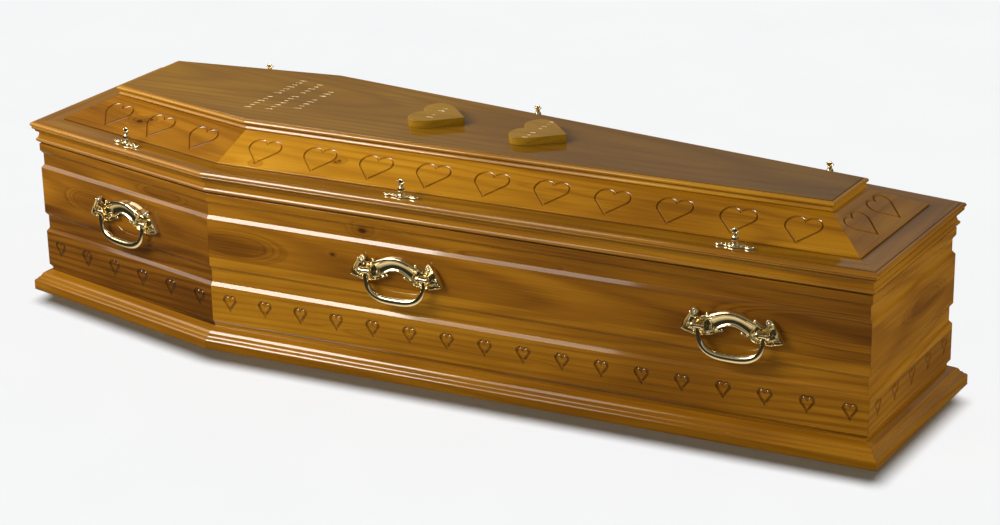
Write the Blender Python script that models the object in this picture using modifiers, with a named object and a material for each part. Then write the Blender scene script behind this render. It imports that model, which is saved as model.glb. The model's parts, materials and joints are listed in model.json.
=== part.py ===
"""A wooden coffin of the shouldered, six-sided kind, lid closed.

The box is made of routed boards on a moulded plinth.  The lid has a flat rim, six sloping
boards with a row of routed hearts, and a flat top with two heart plaques.  Six brass handles
hang on the sides and six brass thumbscrews hold the lid down.

Metres, +Z up.  The origin is the middle of the underside, the head end is at -X, the foot end
at +X, and the side seen in front is at -Y.
"""

import math

import bmesh
import bpy
from mathutils import Matrix, Vector

# Gap between pieces that touch
GAP = 0.0003

# Edges that turn more than this are shaded sharp
SHARP_ANGLE = math.radians(44)

# Plan, measured on the outer face of the walls
LENGTH = 1.950
HEAD_WIDTH = 0.445
SHOULDER_WIDTH = 0.638
FOOT_WIDTH = 0.4145
SHOULDER_FROM_HEAD = 0.5205

# Box
BOTTOM_THICKNESS = 0.020
WALL_THICKNESS = 0.022
GROOVE_DEPTH = 0.0055
GROOVE_BEVEL = 0.0075
PLINTH_GROOVE = 0.0140
LOWER_FACE = 0.0780
MIDDLE_GROOVE = 0.0435
UPPER_FACE = 0.1040
TOP_GROOVE = 0.0400
LIP_HEIGHT = 0.0160

# Plinth moulding
PLINTH_HEIGHT = 0.0405
PLINTH_PROJECTION = 0.0278
PLINTH_FLAT = 0.0165
PLINTH_BEADS = (0.0045, 0.0040, 0.0080)
PLINTH_STEP = 0.0020
PLINTH_RISE = 0.0015

# Lid rim: a flat board in a moulded frame
RIM_HEIGHT = 0.0503
RIM_BOARD_THICKNESS = 0.0220
RIM_BOARD_WIDTH = 0.0900
RIM_BOARD_EDGE = 0.0044
RIM_BOARD_STEP = 0.0015
RIM_FRAME_WIDTH = 0.0220
RIM_NOSE_PROJECTION = 0.0134
RIM_NOSE_RADIUS = 0.0048
RIM_NOSE_FILLET = 0.0050
RIM_COVE_RADIUS = 0.0120
RIM_BEAD_PROJECTION = 0.0052
RIM_BEAD_RADIUS = 0.0045
RIM_FOOT_INSET = 0.0045

# Sloping boards of the lid
SLOPE_FOOT_INSET = 0.0438
SLOPE_TOP_INSET = 0.1400
SLOPE_HEIGHT = 0.0468
SLOPE_REVEAL = 0.0030
SLOPE_THICKNESS = 0.0160

# Top board and the moulding around it
TOP_BOARD_THICKNESS = 0.0217
TOP_BOARD_INSET = 0.0042
TOP_BOARD_STEP = 0.0015
TOP_NOSE_PROJECTION = 0.0047
TOP_NOSE_RADIUS = 0.0045
TOP_NECK_INSET = 0.0014
TOP_NECK_HEIGHT = 0.0030
TOP_BEAD_PROJECTION = 0.0018
TOP_BEAD_RADIUS = 0.0030

# Radius of a heart's lobes as a share of its width
HEART_LOBE = 0.27

# Small routed hearts on the lower face of the walls
SMALL_HEART_WIDTH = 0.027
SMALL_HEART_HEIGHT = 0.0285
SMALL_GROOVE = 0.0025
SMALL_HEART_MARGIN = 0.041
SMALL_HEART_RISE = 0.030
SMALL_HEART_SHIFT = 0.004
SMALL_HEART_COUNTS = (6, 17, 5, 17, 6, 5)
SMALL_HEART_LOBE_START = -20
SMALL_HEART_ARC_STEPS = 2

# Large routed hearts on the sloping boards
LARGE_HEART_WIDTH = 0.073
LARGE_HEART_HEIGHT = 0.067
LARGE_GROOVE = 0.0017
LARGE_HEART_RISE = 0.0155
LARGE_HEART_SHIFT = -0.0045
LARGE_HEART_PITCHES = (0.133, 0.1303, 0.106, 0.1303, 0.133, 0.106)
LARGE_HEART_COUNTS = (3, 10, 2, 10, 3, 2)
LARGE_HEART_LOBE_START = -40
LARGE_HEART_ARC_STEPS = 4

# Share of a groove's half width by which its cutter stands out of the face
CUTTER_LIFT = 0.1

# Heart plaques on the top board
PLAQUE_WIDTH = 0.136
PLAQUE_LENGTH = 0.113
PLAQUE_THICKNESS = 0.0164
PLAQUE_EDGE = 0.0010
PLAQUE_TIPS = (-0.020, 0.221)
PLAQUE_LOBE_START = -6
PLAQUE_ARC_STEPS = 7

# Rows of engraved strokes: distance of each row from the head end, stroke heights in turn
STROKE_WIDTH = 0.0030
STROKE_DEPTH = 0.0010
STROKE_PITCH = 0.0160
WORD_SPACE = 0.0140
ROW_HEIGHTS = (0.480, 0.529, 0.580)
ROW_STROKES = ((6, 7), (7, 5), (5, 3))
ROW_STROKE_LENGTHS = (0.019, 0.013, 0.016)
PLAQUE_STROKES = ((2, 2), (3, 4))
PLAQUE_STROKE_LENGTHS = ((0.017, 0.009), (0.013, 0.008))
PLAQUE_ROW_FROM_TIP = 0.067

# Thumbscrews and the winged plates under them
SCREW_FROM_END = 0.2745
SCREW_MIDDLE_SHIFT = -0.003
SCREW_INSET = 0.012
SCREW_SIDES = 8
WING_THICKNESS = 0.0040
WING_LENGTH = 0.0400
WING_WIDTH = 0.0075
WING_BOSS_RADIUS = 0.0098
SCREW_PROFILE = (
    (0.0000, 0.0345),
    (0.0032, 0.0325),
    (0.0074, 0.0270),
    (0.0060, 0.0235),
    (0.0040, 0.0205),
    (0.0062, 0.0150),
    (0.0068, 0.0100),
    (0.0048, 0.0040),
    (0.0078, 0.0000),
    (0.0000, 0.0000),
)

# Handles: a cast back with two fans, an arch and pivot housings, and a hanging bail
HANDLE_FROM_END = 0.2705
HANDLE_MIDDLE_SHIFT = -0.011
HANDLE_PIVOT_HEIGHT = 0.229
PIVOT_SPACING = 0.131
PIVOT_STANDOFF = 0.0155
BARREL_RADIUS = 0.0052
BARREL_LENGTH = 0.0170
BARREL_SIDES = 8
BARREL_CLEARANCE = 0.0008
HOUSING_CHEEK = 0.0030
HOUSING_ROOF = 0.0030
HOUSING_DEPTH = 0.0195
HOUSING_DROP = 0.0060
FAN_THICKNESS = 0.0085
FAN_EDGE = 0.0030
FAN_TOP_HEIGHT = 0.0215
FAN_TOP_OUTER = 0.0810
FAN_TOP_INNER = 0.0480
FAN_SKIRT_OUTER = 0.1045
FAN_SKIRT_INNER = 0.0190
FAN_SKIRT_DROP = 0.0110
FAN_SKIRT_SAG = 0.0130
FAN_SKIRT_LIFT = 0.0060
FAN_SKIRT_STEPS = 3
FINIAL_RADIUS = 0.0078
FINIAL_OUT = 0.0750
FINIAL_UP = 0.0270
ARCH_THICKNESS = 0.0135
ARCH_EDGE = 0.0035
ARCH_END = 0.0520
ARCH_TOP_HEIGHT = 0.0200
ARCH_TOP_RISE = 0.0145
ARCH_FOOT_END = 0.0310
ARCH_FOOT_HEIGHT = -0.0080
ARCH_FOOT_RISE = 0.0135
ARCH_STEPS = 4
BAIL_DROP = 0.0565
BAIL_SPREAD = 0.0670
BAIL_LEG_RADIUS = 0.0044
BAIL_GRIP_RADIUS = 0.0088
BAIL_SHAPE_POWER = 2.9
BAIL_STEPS = 8
BAIL_RESOLUTION = 1

SIDE_NAMES = (
    "shoulder_board_right",
    "long_board_right",
    "foot_board",
    "long_board_left",
    "shoulder_board_left",
    "head_board",
)
SIDE_PLACES = ("shoulder_right", "long_right", "foot", "long_left", "shoulder_left", "head")

# Heights that follow from the sizes above
LOWER_FACE_FOOT = PLINTH_HEIGHT + PLINTH_GROOVE
LOWER_FACE_TOP = LOWER_FACE_FOOT + LOWER_FACE
UPPER_FACE_FOOT = LOWER_FACE_TOP + MIDDLE_GROOVE
UPPER_FACE_TOP = UPPER_FACE_FOOT + UPPER_FACE
LIP_FOOT = UPPER_FACE_TOP + TOP_GROOVE
WALL_TOP = LIP_FOOT + LIP_HEIGHT
LID_FOOT = WALL_TOP + GAP
RIM_TOP = LID_FOOT + RIM_HEIGHT
SLOPE_FOOT = RIM_TOP + GAP
SLOPE_TOP = SLOPE_FOOT + SLOPE_HEIGHT
TOP_FOOT = SLOPE_TOP + GAP
LID_TOP = TOP_FOOT + TOP_BOARD_THICKNESS

# Plan corners in turn around the coffin, seen from above, from the head end's near corner
SHOULDER_X = SHOULDER_FROM_HEAD - LENGTH / 2
CORNERS = [
    Vector((-LENGTH / 2, -HEAD_WIDTH / 2)),
    Vector((SHOULDER_X, -SHOULDER_WIDTH / 2)),
    Vector((LENGTH / 2, -FOOT_WIDTH / 2)),
    Vector((LENGTH / 2, FOOT_WIDTH / 2)),
    Vector((SHOULDER_X, SHOULDER_WIDTH / 2)),
    Vector((-LENGTH / 2, HEAD_WIDTH / 2)),
]
SIDES = range(len(CORNERS))


def next_side(side):
    """The side, and the corner, that follows this one."""
    return (side + 1) % len(CORNERS)


def along(side):
    """Unit vector along a side, from its first corner to its last."""
    return (CORNERS[next_side(side)] - CORNERS[side]).normalized()


def outward(side):
    """Unit vector pointing out of a side."""
    direction = along(side)
    return Vector((direction.y, -direction.x))


def footward(side):
    """1 where a side runs toward the foot end, -1 where it runs back, 0 across an end."""
    run = along(side).x
    return round(run)


def half_turn_tangent(corner):
    """Tangent of half the angle by which the plan turns at a corner."""
    turn = along(corner - 1).angle(along(corner))
    return math.tan(turn / 2)


def plan_corner(corner, offset):
    """A corner of the plan moved out by an offset from both of its sides."""
    before = outward(corner - 1)
    after = outward(corner)
    return CORNERS[corner] + (before + after) * (offset / (1 + before.dot(after)))


def plan_outline(offset):
    """The whole plan, moved out by an offset."""
    return [plan_corner(corner, offset) for corner in SIDES]


def side_span(side, offset):
    """Where a side starts and ends along itself at an offset, measured from its middle."""
    half_length = (CORNERS[next_side(side)] - CORNERS[side]).length / 2
    start = -half_length - offset * half_turn_tangent(side)
    end = half_length + offset * half_turn_tangent(next_side(side))
    return start, end


def side_frame(side):
    """Frame of a side: X along it, Y up, Z out of it, from its middle at floor level."""
    middle = (CORNERS[side] + CORNERS[next_side(side)]) / 2
    direction = along(side)
    normal = outward(side)
    return Matrix((
        (direction.x, 0, normal.x, middle.x),
        (direction.y, 0, normal.y, middle.y),
        (0, 1, 0, 0),
        (0, 0, 0, 1),
    ))


def place_on_side(side, station):
    """Distance along a side, from its middle, of the place whose world X is the station."""
    middle = (CORNERS[side] + CORNERS[next_side(side)]) / 2
    return (station - middle.x) / along(side).x


def arc(centre, radius, start, end, steps):
    """Points of an arc, angles in degrees."""
    points = []
    for step in range(steps + 1):
        angle = math.radians(start + (end - start) * step / steps)
        points.append((centre[0] + radius * math.cos(angle), centre[1] + radius * math.sin(angle)))
    return points


def heart_outline(width, height, lobe_start, arc_steps):
    """A heart with its tip at the origin and its lobes up: two arcs and two straight sides.

    The straight sides meet the lobes where their arcs start, at an angle in degrees.
    """
    radius = HEART_LOBE * width
    centre_x = width / 2 - radius
    centre_y = height - radius
    end = math.degrees(math.acos(-centre_x / radius))
    right = arc((centre_x, centre_y), radius, lobe_start, end, arc_steps)
    left = [(-x, y) for x, y in reversed(right[:-1])]
    return [(0.0, 0.0)] + right + left


def set_up_collections():
    """Clear the scene and make one collection for the parts and one for the cutters."""
    for old in list(bpy.data.objects):
        bpy.data.objects.remove(old, do_unlink=True)
    collections = []
    for name in ("Coffin", "Cutters"):
        collection = bpy.data.collections.new(name)
        bpy.context.scene.collection.children.link(collection)
        collections.append(collection)
    return collections


PARTS, CUTTERS = set_up_collections()


def make_material(name, color, roughness, metallic):
    """A plain surface with the colour, roughness and metal of the real one."""
    material = bpy.data.materials.new(name)
    material.use_nodes = True
    shader = material.node_tree.nodes["Principled BSDF"]
    shader.inputs["Base Color"].default_value = (*color, 1.0)
    shader.inputs["Roughness"].default_value = roughness
    shader.inputs["Metallic"].default_value = metallic
    return material


SIDE_WOOD = make_material("side_wood", (0.30, 0.145, 0.030), 0.30, 0.0)
LID_WOOD = make_material("lid_wood", (0.42, 0.22, 0.045), 0.28, 0.0)
BRASS = make_material("polished_brass", (0.80, 0.62, 0.30), 0.12, 1.0)


def add_part(name, mesh, frame, material):
    """Put a mesh into the coffin as a named part."""
    part = bpy.data.objects.new(name, mesh)
    part.matrix_world = frame
    if not mesh.materials:
        mesh.materials.append(material)
    PARTS.objects.link(part)
    return part


def add_cutter(name, mesh, frame):
    """A shape that only cuts or joins, hidden in renders."""
    cutter = bpy.data.objects.new(name, mesh)
    cutter.matrix_world = frame
    cutter.hide_render = True
    cutter.display_type = "WIRE"
    CUTTERS.objects.link(cutter)
    return cutter


def combine(part, cutter, operation):
    """Cut a part with another shape, or join it on."""
    boolean = part.modifiers.new(cutter.name, "BOOLEAN")
    boolean.operation = operation
    boolean.solver = "EXACT"
    boolean.object = cutter


def evaluated_mesh(source, name):
    """A mesh of an object with its modifiers applied; the object is removed."""
    bpy.context.view_layer.update()
    depsgraph = bpy.context.evaluated_depsgraph_get()
    mesh = bpy.data.meshes.new_from_object(source.evaluated_get(depsgraph))
    mesh.name = name
    bpy.data.objects.remove(source, do_unlink=True)
    return mesh


def close_up(mesh):
    """Weld loose caps, turn all faces outward and shade the mesh with sharp edges."""
    shape = bmesh.new()
    shape.from_mesh(mesh)
    bmesh.ops.remove_doubles(shape, verts=shape.verts, dist=1e-6)
    bmesh.ops.recalc_face_normals(shape, faces=shape.faces)
    shape.to_mesh(mesh)
    shape.free()
    mesh.shade_smooth()
    mesh.set_sharp_from_angle(angle=SHARP_ANGLE)
    return mesh


def new_curve(name, outlines, dimensions):
    """A curve object with one closed straight-edged spline for each outline."""
    curve = bpy.data.curves.new(name, "CURVE")
    curve.dimensions = dimensions
    for outline in outlines:
        spline = curve.splines.new("POLY")
        spline.points.add(len(outline) - 1)
        for point, place in zip(spline.points, outline):
            point.co = (place[0], place[1], 0, 1)
        spline.use_cyclic_u = True
    source = bpy.data.objects.new(name, curve)
    CUTTERS.objects.link(source)
    return source


def slab_mesh(name, outlines, thickness):
    """A flat board with these outlines, centred on its own plane."""
    source = new_curve(name, outlines, "2D")
    source.data.fill_mode = "BOTH"
    source.data.extrude = thickness / 2
    return close_up(evaluated_mesh(source, name))


def raised_mesh(name, outline, thickness, edge):
    """A flat piece standing on its plane, with a sloping edge around its upper face."""
    mesh = slab_mesh(name, [outline], thickness - edge)
    shape = bmesh.new()
    shape.from_mesh(mesh)
    bmesh.ops.translate(shape, verts=shape.verts, vec=(0, 0, (thickness - edge) / 2))
    upper = [face for face in shape.faces if face.normal.z > 0.5]
    bmesh.ops.inset_region(shape, faces=upper, thickness=edge, depth=edge, use_even_offset=True)
    shape.to_mesh(mesh)
    shape.free()
    return mesh


def swept_mesh(name, side, profile):
    """A board or moulding along one side, mitred at both ends.

    The profile's points are offsets from the wall's outer face and heights.
    """
    mesh = slab_mesh(name, [profile], 1.0)
    for vertex in mesh.vertices:
        offset, height = vertex.co.x, vertex.co.y
        start, end = side_span(side, offset)
        if vertex.co.z > 0:
            retreat = GAP / 2 / math.cos(math.atan(half_turn_tangent(side)))
            place = start + retreat
        else:
            retreat = GAP / 2 / math.cos(math.atan(half_turn_tangent(next_side(side))))
            place = end - retreat
        vertex.co = (place, height, offset)
    return close_up(mesh)


def routed_ring_mesh(name, outline, half_width):
    """A closed tube of diamond section along an outline, to cut a V groove."""
    source = new_curve(name, [outline], "2D")
    source.data.fill_mode = "NONE"
    source.data.bevel_depth = half_width
    source.data.bevel_resolution = 0
    return close_up(evaluated_mesh(source, name))


def repeat(cutter, count, pitch):
    """Repeat a cutter along its own X, centred on where it stands."""
    shift = Matrix.Translation((-(count - 1) * pitch / 2, 0, 0))
    cutter.matrix_world = cutter.matrix_world @ shift
    array = cutter.modifiers.new("row", "ARRAY")
    array.count = count
    array.use_relative_offset = False
    array.use_constant_offset = True
    array.constant_offset_displace = (pitch, 0, 0)


def route_heart_row(part, frame, outline, half_width, count, pitch):
    """Route a row of heart outlines into a part, in the plane of the frame."""
    mesh = routed_ring_mesh(part.name + "_hearts", outline, half_width)
    lift = Matrix.Translation((0, 0, CUTTER_LIFT * half_width))
    cutter = add_cutter(mesh.name, mesh, frame @ lift)
    repeat(cutter, count, pitch)
    combine(part, cutter, "DIFFERENCE")


def wall_profile():
    """Section of a wall board: two flat faces and a lip between bevelled grooves."""
    foot = BOTTOM_THICKNESS + GAP
    points = [(-WALL_THICKNESS, foot), (-GROOVE_DEPTH, foot)]
    for start, end in ((LOWER_FACE_FOOT, LOWER_FACE_TOP), (UPPER_FACE_FOOT, UPPER_FACE_TOP)):
        points.append((-GROOVE_DEPTH, start - GROOVE_BEVEL))
        points.append((0, start))
        points.append((0, end))
        points.append((-GROOVE_DEPTH, end + GROOVE_BEVEL))
    points.append((-GROOVE_DEPTH, LIP_FOOT - GROOVE_BEVEL))
    points.append((0, LIP_FOOT))
    points.append((0, WALL_TOP))
    points.append((-WALL_THICKNESS, WALL_TOP))
    return points


def plinth_profile():
    """Section of the plinth moulding: a flat, three beads set back in turn, a sloping top."""
    back = -GROOVE_DEPTH + GAP
    offset = PLINTH_PROJECTION
    height = PLINTH_FLAT
    points = [(back, 0), (offset, 0)]
    for radius in PLINTH_BEADS:
        points += arc((offset - radius, height), radius, 0, 90, 2)
        offset -= radius + PLINTH_STEP
        height += radius + PLINTH_RISE
    points.append((back, PLINTH_HEIGHT))
    return points


def rim_profile():
    """Section of the frame under and around the rim board: bead, cove and round nose."""
    inner = RIM_BOARD_EDGE - RIM_FRAME_WIDTH
    board_foot = RIM_TOP - RIM_BOARD_THICKNESS - GAP
    bead_centre = (RIM_BEAD_PROJECTION - RIM_BEAD_RADIUS, LID_FOOT + 2 * RIM_BEAD_RADIUS)
    nose_centre = (RIM_NOSE_PROJECTION - RIM_NOSE_RADIUS, RIM_TOP - RIM_BOARD_STEP - RIM_NOSE_RADIUS)
    fillet_top = nose_centre[1] - RIM_NOSE_RADIUS * math.sin(math.radians(60))
    fillet_offset = nose_centre[0] + RIM_NOSE_RADIUS * math.cos(math.radians(60))
    cove_centre = (fillet_offset, fillet_top - RIM_NOSE_FILLET - RIM_COVE_RADIUS)
    points = [(inner, LID_FOOT), (-RIM_FOOT_INSET, LID_FOOT)]
    points += arc(bead_centre, RIM_BEAD_RADIUS, -70, 80, 3)
    points += arc(cove_centre, RIM_COVE_RADIUS, 195, 90, 3)
    points += arc(nose_centre, RIM_NOSE_RADIUS, -60, 90, 4)
    points.append((RIM_BOARD_EDGE + GAP, RIM_TOP - RIM_BOARD_STEP))
    points.append((RIM_BOARD_EDGE + GAP, board_foot))
    points.append((inner, board_foot))
    return points


def slope_profile():
    """Section of a sloping board: level foot with a small reveal, level top."""
    rise = SLOPE_HEIGHT - SLOPE_REVEAL
    run = SLOPE_TOP_INSET - SLOPE_FOOT_INSET
    level_width = SLOPE_THICKNESS * math.hypot(rise, run) / rise
    inner_foot = SLOPE_FOOT_INSET + level_width - SLOPE_REVEAL * run / rise
    return [
        (-inner_foot, SLOPE_FOOT),
        (-SLOPE_FOOT_INSET, SLOPE_FOOT),
        (-SLOPE_FOOT_INSET, SLOPE_FOOT + SLOPE_REVEAL),
        (-SLOPE_TOP_INSET, SLOPE_TOP),
        (-SLOPE_TOP_INSET - level_width, SLOPE_TOP),
    ]


def top_profile():
    """Section of the moulding around the top board: small bead, neck and round nose."""
    edge = -SLOPE_TOP_INSET
    back = edge - TOP_BOARD_INSET + GAP
    crest = LID_TOP - TOP_BOARD_STEP
    bead_centre = (edge + TOP_BEAD_PROJECTION - TOP_BEAD_RADIUS, TOP_FOOT + TOP_BEAD_RADIUS)
    nose_centre = (edge + TOP_NOSE_PROJECTION - TOP_NOSE_RADIUS, crest - TOP_NOSE_RADIUS)
    neck_top = nose_centre[1] - TOP_NOSE_RADIUS
    points = [(back, TOP_FOOT)]
    points += arc(bead_centre, TOP_BEAD_RADIUS, -90, 60, 3)
    points.append((edge - TOP_NECK_INSET, neck_top - TOP_NECK_HEIGHT))
    points.append((edge - TOP_NECK_INSET, neck_top))
    points += arc(nose_centre, TOP_NOSE_RADIUS, -60, 90, 4)
    points.append((back, crest))
    return points


def slope_frame(side):
    """Frame of a sloping board's face: Y up the slope, from the middle of its foot edge."""
    rise = SLOPE_HEIGHT - SLOPE_REVEAL
    run = SLOPE_TOP_INSET - SLOPE_FOOT_INSET
    start, end = side_span(side, -(SLOPE_FOOT_INSET + SLOPE_TOP_INSET) / 2)
    foot = Matrix.Translation(((start + end) / 2, SLOPE_FOOT + SLOPE_REVEAL, -SLOPE_FOOT_INSET))
    lean = Matrix.Rotation(math.atan2(rise, run) - math.pi / 2, 4, "X")
    return side_frame(side) @ foot @ lean


def build_bottom_board():
    """The board that the walls stand on."""
    mesh = slab_mesh("bottom_board", [plan_outline(-GROOVE_DEPTH)], BOTTOM_THICKNESS)
    frame = Matrix.Translation((0, 0, BOTTOM_THICKNESS / 2))
    add_part("bottom_board", mesh, frame, SIDE_WOOD)


def build_walls():
    """Six wall boards with grooves and a row of small hearts."""
    outline = heart_outline(SMALL_HEART_WIDTH, SMALL_HEART_HEIGHT, SMALL_HEART_LOBE_START,
                            SMALL_HEART_ARC_STEPS)
    for side in SIDES:
        mesh = swept_mesh(SIDE_NAMES[side], side, wall_profile())
        part = add_part(SIDE_NAMES[side], mesh, side_frame(side), SIDE_WOOD)
        start, end = side_span(side, 0)
        count = SMALL_HEART_COUNTS[side]
        pitch = (end - start - 2 * SMALL_HEART_MARGIN) / (count - 1)
        middle = (start + end) / 2 + SMALL_HEART_SHIFT * footward(side)
        tip_height = LOWER_FACE_FOOT + SMALL_HEART_RISE
        frame = side_frame(side) @ Matrix.Translation((middle, tip_height, 0))
        route_heart_row(part, frame, outline, SMALL_GROOVE, count, pitch)


def build_mouldings():
    """The plinth, the frame of the rim and the moulding around the top, six pieces each."""
    rings = (
        ("plinth", plinth_profile(), SIDE_WOOD),
        ("rim_frame", rim_profile(), LID_WOOD),
        ("top_moulding", top_profile(), LID_WOOD),
    )
    for ring, profile, material in rings:
        for side in SIDES:
            name = ring + "_" + SIDE_PLACES[side]
            add_part(name, swept_mesh(name, side, profile), side_frame(side), material)


def build_rim_board():
    """The flat board of the rim, open in the middle."""
    outer = plan_outline(RIM_BOARD_EDGE)
    inner = plan_outline(RIM_BOARD_EDGE - RIM_BOARD_WIDTH)
    mesh = slab_mesh("rim_board", [outer, inner], RIM_BOARD_THICKNESS)
    frame = Matrix.Translation((0, 0, RIM_TOP - RIM_BOARD_THICKNESS / 2))
    add_part("rim_board", mesh, frame, LID_WOOD)


def build_slopes():
    """Six sloping lid boards with a row of large hearts."""
    outline = heart_outline(LARGE_HEART_WIDTH, LARGE_HEART_HEIGHT, LARGE_HEART_LOBE_START,
                            LARGE_HEART_ARC_STEPS)
    for side in SIDES:
        name = "slope_" + SIDE_PLACES[side]
        part = add_part(name, swept_mesh(name, side, slope_profile()), side_frame(side), LID_WOOD)
        shift = LARGE_HEART_SHIFT * footward(side)
        frame = slope_frame(side) @ Matrix.Translation((shift, LARGE_HEART_RISE, 0))
        count = LARGE_HEART_COUNTS[side]
        route_heart_row(part, frame, outline, LARGE_GROOVE, count, LARGE_HEART_PITCHES[side])


def stroke_row_mesh(name, groups, lengths):
    """Boxes for a row of engraved strokes: two groups along Y, lengths along X in turn."""
    strokes = sum(groups)
    extent = (strokes - 1) * STROKE_PITCH + WORD_SPACE
    shape = bmesh.new()
    for index in range(strokes):
        place = index * STROKE_PITCH - extent / 2
        if index >= groups[0]:
            place += WORD_SPACE
        size = (lengths[index % len(lengths)], STROKE_WIDTH, 2 * STROKE_DEPTH)
        frame = Matrix.Translation((0, place, 0)) @ Matrix.Diagonal((*size, 1))
        bmesh.ops.create_cube(shape, size=1.0, matrix=frame)
    mesh = bpy.data.meshes.new(name)
    shape.to_mesh(mesh)
    shape.free()
    return mesh


def engrave(part, name, groups, lengths, place):
    """Cut a row of strokes into a level face at a place on it."""
    mesh = stroke_row_mesh(name, groups, lengths)
    combine(part, add_cutter(name, mesh, Matrix.Translation(place)), "DIFFERENCE")


def build_top_board():
    """The flat top with its engraved rows."""
    outline = plan_outline(-SLOPE_TOP_INSET - TOP_BOARD_INSET)
    mesh = slab_mesh("top_board", [outline], TOP_BOARD_THICKNESS)
    frame = Matrix.Translation((0, 0, LID_TOP - TOP_BOARD_THICKNESS / 2))
    part = add_part("top_board", mesh, frame, LID_WOOD)
    for index, groups in enumerate(ROW_STROKES):
        place = (ROW_HEIGHTS[index] - LENGTH / 2, 0, LID_TOP)
        engrave(part, "inscription_row_%d" % (index + 1), groups, ROW_STROKE_LENGTHS, place)


def build_plaques():
    """Two heart plaques on the top board, tips toward the foot end."""
    outline = heart_outline(PLAQUE_WIDTH, PLAQUE_LENGTH, PLAQUE_LOBE_START, PLAQUE_ARC_STEPS)
    seat = LID_TOP + GAP
    for index, tip in enumerate(PLAQUE_TIPS):
        name = "heart_plaque_%d" % (index + 1)
        mesh = raised_mesh(name, outline, PLAQUE_THICKNESS, PLAQUE_EDGE)
        frame = Matrix.Translation((tip, 0, seat)) @ Matrix.Rotation(math.pi / 2, 4, "Z")
        part = add_part(name, mesh, frame, LID_WOOD)
        place = (tip - PLAQUE_ROW_FROM_TIP, 0, seat + PLAQUE_THICKNESS)
        engrave(part, name + "_row", PLAQUE_STROKES[index], PLAQUE_STROKE_LENGTHS[index], place)


def stations(from_end, middle_shift):
    """World X of the three fittings on each side, from the head end to the foot end."""
    return (from_end - LENGTH / 2, middle_shift, LENGTH / 2 - from_end)


def side_places(from_end, middle_shift):
    """Name, side and distance along it of each of the six places for a fitting."""
    head, middle, foot = stations(from_end, middle_shift)
    return (
        ("right_head", 0, place_on_side(0, head)),
        ("right_middle", 1, place_on_side(1, middle)),
        ("right_foot", 1, place_on_side(1, foot)),
        ("left_foot", 3, place_on_side(3, foot)),
        ("left_middle", 3, place_on_side(3, middle)),
        ("left_head", 4, place_on_side(4, head)),
    )


def wing_outline():
    """Outline of a winged plate: a round boss and a leaf to each side."""
    boss_edge = 42
    leaf = [
        (WING_BOSS_RADIUS * 1.25, WING_WIDTH * 0.55),
        (WING_LENGTH * 0.60, WING_WIDTH),
        (WING_LENGTH * 0.88, WING_WIDTH * 0.72),
        (WING_LENGTH, 0.0),
    ]
    upper_right = leaf[::-1] + arc((0, 0), WING_BOSS_RADIUS, boss_edge, 90, 1)
    upper_left = [(-x, y) for x, y in reversed(upper_right[:-1])]
    upper = upper_right + upper_left
    lower = [(x, -y) for x, y in reversed(upper[1:-1])]
    return upper + lower


def turned_mesh(name, profile, sides):
    """A turned solid from a profile that runs from the top of its axis to the foot."""
    mesh = bpy.data.meshes.new(name)
    points = [(radius, 0, height) for radius, height in profile]
    edges = [(index, index + 1) for index in range(len(points) - 1)]
    mesh.from_pydata(points, edges, [])
    source = bpy.data.objects.new(name, mesh)
    CUTTERS.objects.link(source)
    screw = source.modifiers.new("turn", "SCREW")
    screw.steps = sides
    screw.render_steps = sides
    screw.use_merge_vertices = True
    screw.merge_threshold = 0.0001
    return close_up(evaluated_mesh(source, name))


def build_thumbscrews():
    """Six turned thumbscrews, each on a winged plate."""
    wing = slab_mesh("winged_plate", [wing_outline()], WING_THICKNESS)
    screw = turned_mesh("thumbscrew", SCREW_PROFILE, SCREW_SIDES)
    for label, side, place in side_places(SCREW_FROM_END, SCREW_MIDDLE_SHIFT):
        flat = side_frame(side) @ Matrix.Translation((place, RIM_TOP + GAP, -SCREW_INSET))
        upright = flat @ Matrix.Rotation(-math.pi / 2, 4, "X")
        middle = Matrix.Translation((0, 0, WING_THICKNESS / 2))
        crest = Matrix.Translation((0, 0, WING_THICKNESS + GAP))
        add_part("winged_plate_" + label, wing, upright @ middle, BRASS)
        add_part("thumbscrew_" + label, screw, upright @ crest, BRASS)


def fan_outline(hand):
    """Outline of one fan of the handle's back; hand is 1 or -1."""
    points = [
        (FAN_TOP_INNER, FAN_TOP_HEIGHT),
        (FAN_TOP_OUTER, FAN_TOP_HEIGHT),
    ]
    for step in range(FAN_SKIRT_STEPS + 1):
        share = step / FAN_SKIRT_STEPS
        out = FAN_SKIRT_OUTER + (FAN_SKIRT_INNER - FAN_SKIRT_OUTER) * share
        sag = FAN_SKIRT_SAG * math.sin(math.pi * share)
        points.append((out, FAN_SKIRT_LIFT * share - FAN_SKIRT_DROP - sag))
    return [(hand * x, y) for x, y in points]


def bow(half_width, end_height, rise, steps):
    """Points of a shallow bow from right to left."""
    points = []
    for step in range(steps + 1):
        share = 1 - 2 * step / steps
        points.append((half_width * share, end_height + rise * math.cos(share * math.pi / 2)))
    return points


def arch_outline():
    """Outline of the broad arch that joins the two fans."""
    upper = bow(ARCH_END, ARCH_TOP_HEIGHT, ARCH_TOP_RISE, ARCH_STEPS)
    lower = bow(ARCH_FOOT_END, ARCH_FOOT_HEIGHT, ARCH_FOOT_RISE, ARCH_STEPS)
    return upper + lower[::-1]


def housing_outline():
    """Outline of a pivot housing, open below: two cheeks and a roof over the barrel."""
    room = BARREL_LENGTH / 2 + BARREL_CLEARANCE
    half = room + HOUSING_CHEEK
    ceiling = BARREL_RADIUS + BARREL_CLEARANCE
    roof = ceiling + HOUSING_ROOF
    return [
        (half, -HOUSING_DROP),
        (half, roof),
        (-half, roof),
        (-half, -HOUSING_DROP),
        (-room, -HOUSING_DROP),
        (-room, ceiling),
        (room, ceiling),
        (room, -HOUSING_DROP),
    ]


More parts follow.
